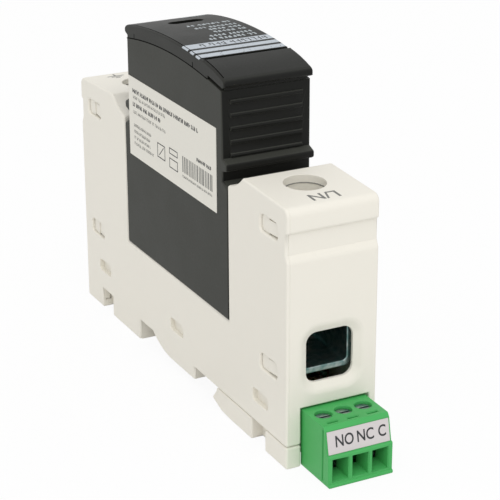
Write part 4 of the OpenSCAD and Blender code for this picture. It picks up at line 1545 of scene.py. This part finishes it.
@dataclass(frozen=True)
class SideLabel:
    """The film on the cartridge's left side; print is placed on it by shares of its length and height."""

    span_y: Point = (20.06, -18.3)
    span_z: Point = (51.1, 35.05)
    film_x: float = 8.975
    film_thick: float = 0.075
    corner: float = 0.15
    corner_steps: int = 3
    print_x: float = 8.999
    ink_sink: float = 0.01
    style: MockPrint = MockPrint()
    seed: int = 11
    bold_weight: float = 0.2
    rows: tuple[tuple[float, ...], ...] = (
        (0.165, 0.05, 0.81, 0.82, 0.27),
        (0.245, 0.055, 0.45, 0.6, 0.14),
        (0.335, 0.05, 0.38, 0.82, 0.27),
        (0.43, 0.055, 0.44, 0.62, 0.14),
        (0.595, 0.06, 0.27, 0.58, 0.15),
        (0.675, 0.06, 0.26, 0.58, 0.15),
        (0.75, 0.06, 0.265, 0.58, 0.15),
        (0.825, 0.06, 0.30, 0.58, 0.15),
        (0.515, 0.79, 0.96, 0.7, 0.24),
        (0.83, 0.63, 0.96, 0.45, 0.16),
    )
    symbol_at: Point = (0.34, 0.2)
    symbol_size: Point = (0.09, 0.18)
    symbol_line: float = 0.18
    symbol_slash: tuple[Point, ...] = ((0.6, 0.5), (0.85, 0.5), (2.9, 2.4), (2.65, 2.4))
    boxes_left: float = 0.48
    boxes_wide: float = 0.095
    boxes_v: tuple[Point, ...] = ((0.34, 0.415), (0.17, 0.29))
    boxes_line: float = 0.17
    bars_span: Point = (0.63, 0.955)
    bars_foot: float = 0.22
    bars_tall: float = 0.195
    bar_widths: tuple[float, ...] = (0.14, 0.14, 0.26, 0.38)
    bar_gaps: tuple[float, ...] = (0.2, 0.32, 0.46)

    def size(self) -> Point:
        """Gives the label's length and height in millimetres."""
        return self.span_y[0] - self.span_y[1], self.span_z[0] - self.span_z[1]

    def place(self, u: float, v: float, height: float) -> Vector:
        """Maps label millimetres, from its far lower corner, to the part's frame.

        Args:
            u: Along the rows.
            v: Upwards.
            height: Out of the label.

        Returns:
            The point in metres.
        """
        return Vector((-self.film_x - height, self.span_y[0] - u, self.span_z[1] + v)) * MM

    def lay_film(self) -> None:
        """Lays the film, with rounded corners, a little inside the CAD label's face."""
        right, top = (length - self.corner for length in self.size())
        centres = ((right, top), (self.corner, top), (self.corner, self.corner), (right, self.corner))
        outline: Polygon = []
        for quarter, (u, v) in enumerate(centres):
            outline += quarter_arc(u, v, self.corner, quarter, self.corner_steps)
        film = prisms("side_label_film", [outline], self.place, -self.film_thick, 0.0)
        dress(film, Look.LABEL, "cartridge", "label")
        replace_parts(film, "side_label")

    def print_rows(self) -> None:
        """Prints bold and fine rows, a symbol, two boxes and a row of bars, none of them readable."""
        dice = random.Random(self.seed)
        wide, tall = self.size()
        bold: list[Polygon] = []
        fine: list[Polygon] = []
        for v, start, end, height, weight in self.rows:
            foot = (1 - v) * tall - height / 2
            row = self.style.row(dice, (start * wide, foot), (end - start) * wide, height, weight)
            (bold if weight > self.bold_weight else fine).extend(row)
        left, foot = self.symbol_at[0] * wide, self.symbol_at[1] * tall
        across, up = self.symbol_size
        bold += frame_bars(left, foot, across * wide, up * tall, self.symbol_line)
        bold.append([(left + u, foot + v) for u, v in self.symbol_slash])
        left, across = self.boxes_left * wide, self.boxes_wide * wide
        for low, high in self.boxes_v:
            bold += frame_bars(left, low * tall, across, (high - low) * tall, self.boxes_line)
        u, end = (share * wide for share in self.bars_span)
        while u < end:
            thick = dice.choice(self.bar_widths)
            fine.append(bar(u, self.bars_foot * tall, thick, self.bars_tall * tall))
            u += thick + dice.choice(self.bar_gaps)
        inks = (("label_print", bold, Look.DARK_INK), ("label_fine_print", fine, Look.GREY_INK_AND_SHADOW))
        for name, shapes, look in inks:
            ink = prisms(name, shapes, self.place, -self.ink_sink, self.print_x - self.film_x)
            dress(ink, look, "cartridge", "label")


@dataclass(frozen=True)
class CapArch:
    """The cap's arched top: arcs round one axis, bent down into lips, and a groove beside the near plate."""

    axis_z: float = -51.3
    seam_radius: float = 111.5
    top_radius: float = 114.1
    plate_radius: float = 114.4
    plate_step: float = 0.393
    arch_step: float = 0.088
    groove_y: Point = (-13.4, -11.8)
    bend_y: float = 15.0
    lip_y: float = 20.6
    lip_z: float = 59.83
    lip_slope: float = 0.3
    lip_under: Point = (20.5, 21.6)
    lip_foot: Point = (58.842, 59.287)
    ink_room: float = 0.02
    seam_reach: float = 0.15
    reach: float = 0.05

    def height(self, radius: float, y: float) -> float:
        """Gives the height of one of the arcs at a place along the cap, in millimetres."""
        return self.axis_z + math.sqrt(radius**2 - y**2)

    def on_seam(self, middle: Vector) -> bool:
        """Tells whether a point lies on the arched seam."""
        return abs(math.hypot(middle.y, middle.z - self.axis_z) - self.seam_radius) < self.seam_reach

    def bend(self, y: float) -> float:
        """Gives how far the arch is bent down at a place, as a share of the step at its lips."""
        return max((abs(y) - self.bend_y) / (self.lip_y - self.bend_y), 0.0) ** 2

    def crown(self, y: float) -> float:
        """Gives the height of the cap's top as if the groove were filled.

        Args:
            y: Place along the cap in millimetres.

        Returns:
            The height in millimetres.
        """
        near, far = self.groove_y
        share = min(max((far - y) / (far - near), 0.0), 1.0)
        radius = self.top_radius + share * (self.plate_radius - self.top_radius)
        step = self.plate_step if y < 0 else self.arch_step
        return self.height(radius, y) - step * self.bend(y) - self.ink_room

    def ease_lips(self, mesh: Mesh) -> None:
        """Bends the arch's ends down into the lips, straightens their undersides and makes room for ink.

        Args:
            mesh: The cap's mesh, in metres.
        """
        touch = WELD / MM
        inner, outer = self.lip_under
        for side, step in ((-1, self.plate_step), (1, self.arch_step)):
            for vert in mesh.verts:
                _, y, z = vert.co / MM
                y *= side
                out = y - self.lip_y
                on_top = math.hypot(y, z - self.axis_z) > self.top_radius - self.reach
                if y > 0 and on_top and out < touch:
                    vert.co.z -= (step * self.bend(y) + self.ink_room) * MM
                elif 0 < out < 1 and z > self.lip_z:
                    vert.co.z -= (self.lip_slope * out + self.ink_room) * (1 - out) * MM
                elif abs(out) <= touch and z > self.lip_z:
                    vert.co.z -= self.ink_room * MM
                elif inner + touch < y < outer - touch and z < self.lip_foot[1] + self.reach:
                    end = 2 * y > inner + outer
                    vert.co.yz = side * self.lip_under[end] * MM, self.lip_foot[end] * MM


@dataclass(frozen=True)
class CapMarks:
    """What lies on the cap: print that can't be read, painted shadow in its fine joints, and the closed left
    end of its groove.
    """

    arch: CapArch = CapArch()
    side_x: float = 8.9
    style: MockPrint = MockPrint()
    seed: int = 12
    ink_sink: float = 0.06
    ink_top: float = 0.006
    cap_rows: tuple[tuple[float, ...], ...] = (
        (-19.4, -7.0, 5.0, 0.8, 0.16),
        (-8.2, -7.05, 9.0, 1.15, 0.3),
        (-5.5, -7.05, 8.7, 1.15, 0.24),
        (-3.5, -7.05, 7.05, 1.15, 0.3),
        (-1.5, -7.05, 6.9, 1.15, 0.24),
        (0.95, -7.05, 8.65, 1.15, 0.3),
        (2.85, -7.05, 9.75, 1.15, 0.3),
    )
    band_rows: tuple[tuple[float, ...], ...] = ((5.75, -7.7, 14.6, 1.5, 0.17),)
    joint_x: float = 8.36
    joint_line: float = 0.16
    joint_marks: int = 84
    joint_heights: Point = (-0.1, 0.004)
    bridge_radius: float = 0.45
    bridge_marks: int = 7
    bridge_heights: Point = (-0.3, -0.005)
    seam_y: Point = (-14.9, 20.4)
    seam_line: float = 0.22
    seam_marks: int = 48
    seam_heights: Point = (-0.05, 0.004)
    ticks_y: Point = (16.9, -8.95)
    tick_line: float = 0.24
    tick_lift: float = 0.1
    tick_tall: float = 0.9

    def print_place(self, u: float, v: float, height: float) -> Vector:
        """Maps print on the cap, read from the far end, to the part's frame.

        Args:
            u: Along a row, which runs towards -X.
            v: Upwards in the print, which is towards -Y.
            height: Out of the cap.

        Returns:
            The point in metres.
        """
        return Vector((-u, -v, self.arch.height(self.arch.top_radius, v) + height)) * MM

    def print_rows(self) -> None:
        """Prints pale rows on the cap's far half and a dark one on the first band."""
        dice = random.Random(self.seed)
        prints = (("cap_print", Look.PALE_INK, self.cap_rows), ("band_print", Look.DARK_INK, self.band_rows))
        for name, look, rows in prints:
            shapes: list[Polygon] = []
            for middle, start, length, height, weight in rows:
                shapes += self.style.row(dice, (start, middle - height / 2), length, height, weight)
            ink = prisms(name, shapes, self.print_place, -self.ink_sink, self.ink_top - self.arch.ink_room)
            dress(ink, look, "cartridge", "marking_strip")

    def paint_rim_joint_shadow(self) -> None:
        """Paints the shadow of the fine joint along the left rim of the cap's top, as a near-black strip."""
        marks = np.linspace(-self.arch.lip_y, self.arch.lip_y, self.joint_marks).tolist()
        pieces = [bar(self.joint_x, low, self.joint_line, high - low) for low, high in zip(marks, marks[1:])]

        def place(u: float, v: float, height: float) -> Vector:
            """Maps a place on the crown, read as print is, to the part's frame."""
            return Vector((-u, -v, self.arch.crown(-v) + height)) * MM

        # A painted shadow, not a dark part: the strip stands for the shade in the joint.
        dress(prisms("rim_joint", pieces, place, *self.joint_heights), Look.JOINT_SHADOW, "cartridge", "cap")

    def bridge_groove(self) -> None:
        """Carries the cap's rounded left rim across the end of the groove."""
        radius = self.bridge_radius
        quarter = math.pi / 2
        turns = np.linspace(0.0, quarter, self.bridge_marks).tolist()

        def place(turn: float, v: float, height: float) -> Vector:
            """Maps a turn round the rim to the part's frame.

            Args:
                turn: Angle from the top, which leads on down the side past a quarter turn.
                v: Place towards -Y.
                height: Out of the rim.

            Returns:
                The point in metres.
            """
            round_rim = min(turn, quarter)
            reach = radius + height
            x = radius - self.side_x - reach * math.sin(round_rim)
            down = radius - reach * math.cos(round_rim) + radius * (turn - round_rim)
            return Vector((x, -v, self.arch.crown(-v) - down)) * MM

        near, far = (-y for y in self.arch.groove_y)
        strips = [bar(low, far, high - low, near - far) for low, high in zip(turns, [*turns[1:], math.pi])]
        dress(prisms("rim_bridge", strips, place, *self.bridge_heights), Look.CAP, "cartridge", "cap")

    def seam_height(self, y: float) -> float:
        """Gives the seam's height at a place along the cap, in millimetres."""
        return self.arch.height(self.arch.seam_radius, y)

    def paint_seam_shadows(self) -> None:
        """Paints shadow into the cap's seam on both sides, with short strips of painted shadow above it for
        the joints at the ends of the latches.
        """
        half = self.tick_line / 2
        shapes = [
            bar(y - half, self.seam_height(y) + self.tick_lift, self.tick_line, self.tick_tall)
            for y in self.ticks_y
        ]
        marks = np.linspace(*self.seam_y, self.seam_marks).tolist()
        half = self.seam_line / 2
        for first, second in zip(marks, marks[1:]):
            corners = ((first, -half), (second, -half), (second, half), (first, half))
            shapes.append([(y, self.seam_height(y) + rise) for y, rise in corners])

        def left(u: float, v: float, height: float) -> Vector:
            """Maps Y, Z and a height over the left side to the part's frame."""
            return Vector((-self.side_x - height, u, v)) * MM

        def right(u: float, v: float, height: float) -> Vector:
            """Maps Y, Z and a height over the right side to the part's frame."""
            return Vector((self.side_x + height, u, v)) * MM

        # Painted shadow: the dark strips stand for the shade in the seam and the latch joints.
        for name, place in (("seam_shadow_left", left), ("seam_shadow_right", right)):
            dress(prisms(name, shapes, place, *self.seam_heights), Look.JOINT_SHADOW, "cartridge", "cap")


@dataclass
class Cartridge:
    """The plug-in cartridge: case, cap, side label, varistor, blades and trip slide."""

    edge: float = 0.35
    cap_edge: float = 0.5
    seam: float = 0.1
    rim: float = 0.12
    strip_edge: float = 0.12
    coat_edge: float = 1.6
    long_run: float = 100.0
    label: SideLabel = SideLabel()
    arch: CapArch = CapArch()
    marks: CapMarks = CapMarks()
    spring: CoilSpring = CoilSpring(turns=8.0, wire_mm=0.4)

    def case_width(self, middle: Vector, length: float) -> float:
        """Gives the case's edge radius: fine at the seam and at openings, soft elsewhere.

        Args:
            middle: Middle of the edge in millimetres.
            length: Length of its run.

        Returns:
            The width in millimetres.
        """
        if self.arch.on_seam(middle):
            return self.seam
        return self.edge if length > self.long_run else self.rim

    def cap_width(self, middle: Vector, length: float) -> float:
        """Gives the cap's edge radius in the same way, fine at the groove too.

        Args:
            middle: Middle of the edge in millimetres.
            length: Length of its run.

        Returns:
            The width in millimetres.
        """
        near, far = self.arch.groove_y
        if self.arch.on_seam(middle):
            return self.seam
        return self.cap_edge if length > self.long_run and not near < middle.y < far else self.rim

    def build(self) -> None:
        """Builds the cartridge from the outside in."""
        skin("cartridge_case", Look.CARTRIDGE, self.case_width)
        skin("cartridge_cap", Look.CAP, self.cap_width, reshape=self.arch.ease_lips)
        self.label.lay_film()
        self.label.print_rows()
        self.marks.print_rows()
        self.marks.paint_rim_joint_shadow()
        self.marks.bridge_groove()
        self.marks.paint_seam_shadows()
        skin("varistor", Look.VARISTOR, even(self.coat_edge), 4)
        for node in ("line_blade", "earth_blade", "thermal_link"):
            skin(node, Look.COPPER, even(self.strip_edge), 2)
        skin("trip_slide", Look.FLAG, even(self.rim), 2)
        self.spring.build("trip_spring", ("cartridge", "trip_slide"))


@dataclass
class Studio:
    """White floor and world, soft lamps and the camera at the photograph's angle."""

    azimuth: float = -27.149
    elevation: float = 21.655
    roll: float = 0.241
    focal_px: float = 1840.3
    sensor: float = 36.0
    target: Triple = (0.0, 0.0, 30.6)
    offset: Triple = (6.326, -10.011, 351.545)
    nearest: float = 0.01
    floor_half: float = 3.0
    floor_gap: float = 0.02
    floor_colour: Colour = (0.9, 0.9, 0.9)
    floor_glow: float = 0.93
    white: Colour = (1.0, 1.0, 1.0)
    ambient: float = 0.73
    lamps: tuple[tuple[str, Triple, float, float], ...] = (("front lamp", (-0.32, -0.76, 1.2), 1.4, 9.0),)

    @staticmethod
    def seen_directly(graph: Graph) -> Signal:
        """Gives one for rays from the camera, and for those that a gloss or a clear piece sends on.

        Args:
            graph: The graph to add to.

        Returns:
            Zero or one.
        """
        path = graph.node("ShaderNodeLightPath").socket.node
        rays = ("Is Camera Ray", "Is Glossy Ray", "Is Transmission Ray")
        camera, glossy, clear = (Signal(graph, path.outputs[ray]) for ray in rays)
        return camera.either(glossy).either(clear)

    def light_world(self) -> None:
        """Makes the world white to look at and a softer grey as a light."""
        world = bpy.data.worlds.new("white studio")
        bpy.context.scene.world = world
        world.use_nodes = True
        graph = Graph(world.node_tree)
        strength = self.ambient + self.seen_directly(graph) * (1 - self.ambient)
        inputs = {"Color": self.white, "Strength": strength}
        background = graph.node("ShaderNodeBackground", inputs=inputs)
        graph.node("ShaderNodeOutputWorld", inputs={"Surface": background})

    def lay_floor(self) -> None:
        """Lays the pale floor, which looks white but keeps the object's soft shadow."""
        half = self.floor_half
        z = CAD_BOX[0][2] - self.floor_gap * MM
        data = bpy.data.meshes.new("floor")
        corners = [(-half, -half, z), (half, -half, z), (half, half, z), (-half, half, z)]
        data.from_pydata(corners, [], [(0, 1, 2, 3)])
        material = bpy.data.materials.new("white floor")
        material.use_nodes = True
        graph = Graph(material.node_tree)
        matt = graph.node("ShaderNodeBsdfDiffuse", inputs={"Color": self.floor_colour})
        glow = graph.node("ShaderNodeEmission", inputs={"Color": self.white, "Strength": 1.0})
        share = self.seen_directly(graph) * self.floor_glow
        mixed = graph.node("ShaderNodeMixShader", inputs={0: share, 1: matt, 2: glow})
        graph.node("ShaderNodeOutputMaterial", inputs={"Surface": mixed})
        data.materials.append(material)
        link("floor", data)

    def hang_lamps(self) -> None:
        """Hangs the soft square lamps, each turned to the object."""
        aim = Vector(self.target) * MM
        for name, place, side, watts in self.lamps:
            light = bpy.data.lights.new(name, "AREA")
            light.size = side
            light.energy = watts
            lamp = bpy.data.objects.new(name, light)
            lamp.location = place
            lamp.rotation_euler = (aim - Vector(place)).to_track_quat("-Z", "Y").to_euler()
            bpy.context.scene.collection.objects.link(lamp)

    def set_camera(self) -> None:
        """Sets up the camera."""
        turn, rise = math.radians(self.azimuth), math.radians(self.elevation)
        back = Vector((math.sin(turn) * math.cos(rise), -math.cos(turn) * math.cos(rise), math.sin(rise)))
        right = Vector((math.cos(turn), math.sin(turn), 0))
        up = back.cross(right)
        data = bpy.data.cameras.new("camera")
        data.sensor_width = self.sensor
        data.lens = self.focal_px / IMAGE_SIDE * self.sensor
        data.clip_start = self.nearest
        camera = bpy.data.objects.new("camera", data)
        sideways, upwards, away = self.offset
        eye = (Vector(self.target) + right * sideways + up * upwards + back * away) * MM
        roll = Matrix.Rotation(math.radians(-self.roll), 4, "Z")
        camera.matrix_world = Matrix.Translation(eye) @ Matrix((right, up, back)).transposed().to_4x4() @ roll
        bpy.context.scene.collection.objects.link(camera)
        bpy.context.scene.camera = camera

    def build(self) -> None:
        """Sets up light, floor and camera."""
        bpy.context.scene.view_settings.view_transform = "Standard"
        self.light_world()
        self.lay_floor()
        self.hang_lamps()
        self.set_camera()


def main() -> None:
    """Builds the sub-assemblies and the studio."""
    logging.basicConfig(level=logging.INFO, format="%(name)s: %(message)s")
    for assembly in (BaseHousing(), Terminals(), Signalling(), SignalPlug(), Cartridge(), Studio()):
        assembly.build()
        log.info("%s is built", type(assembly).__name__)


if __name__ == "__main__":
    main()
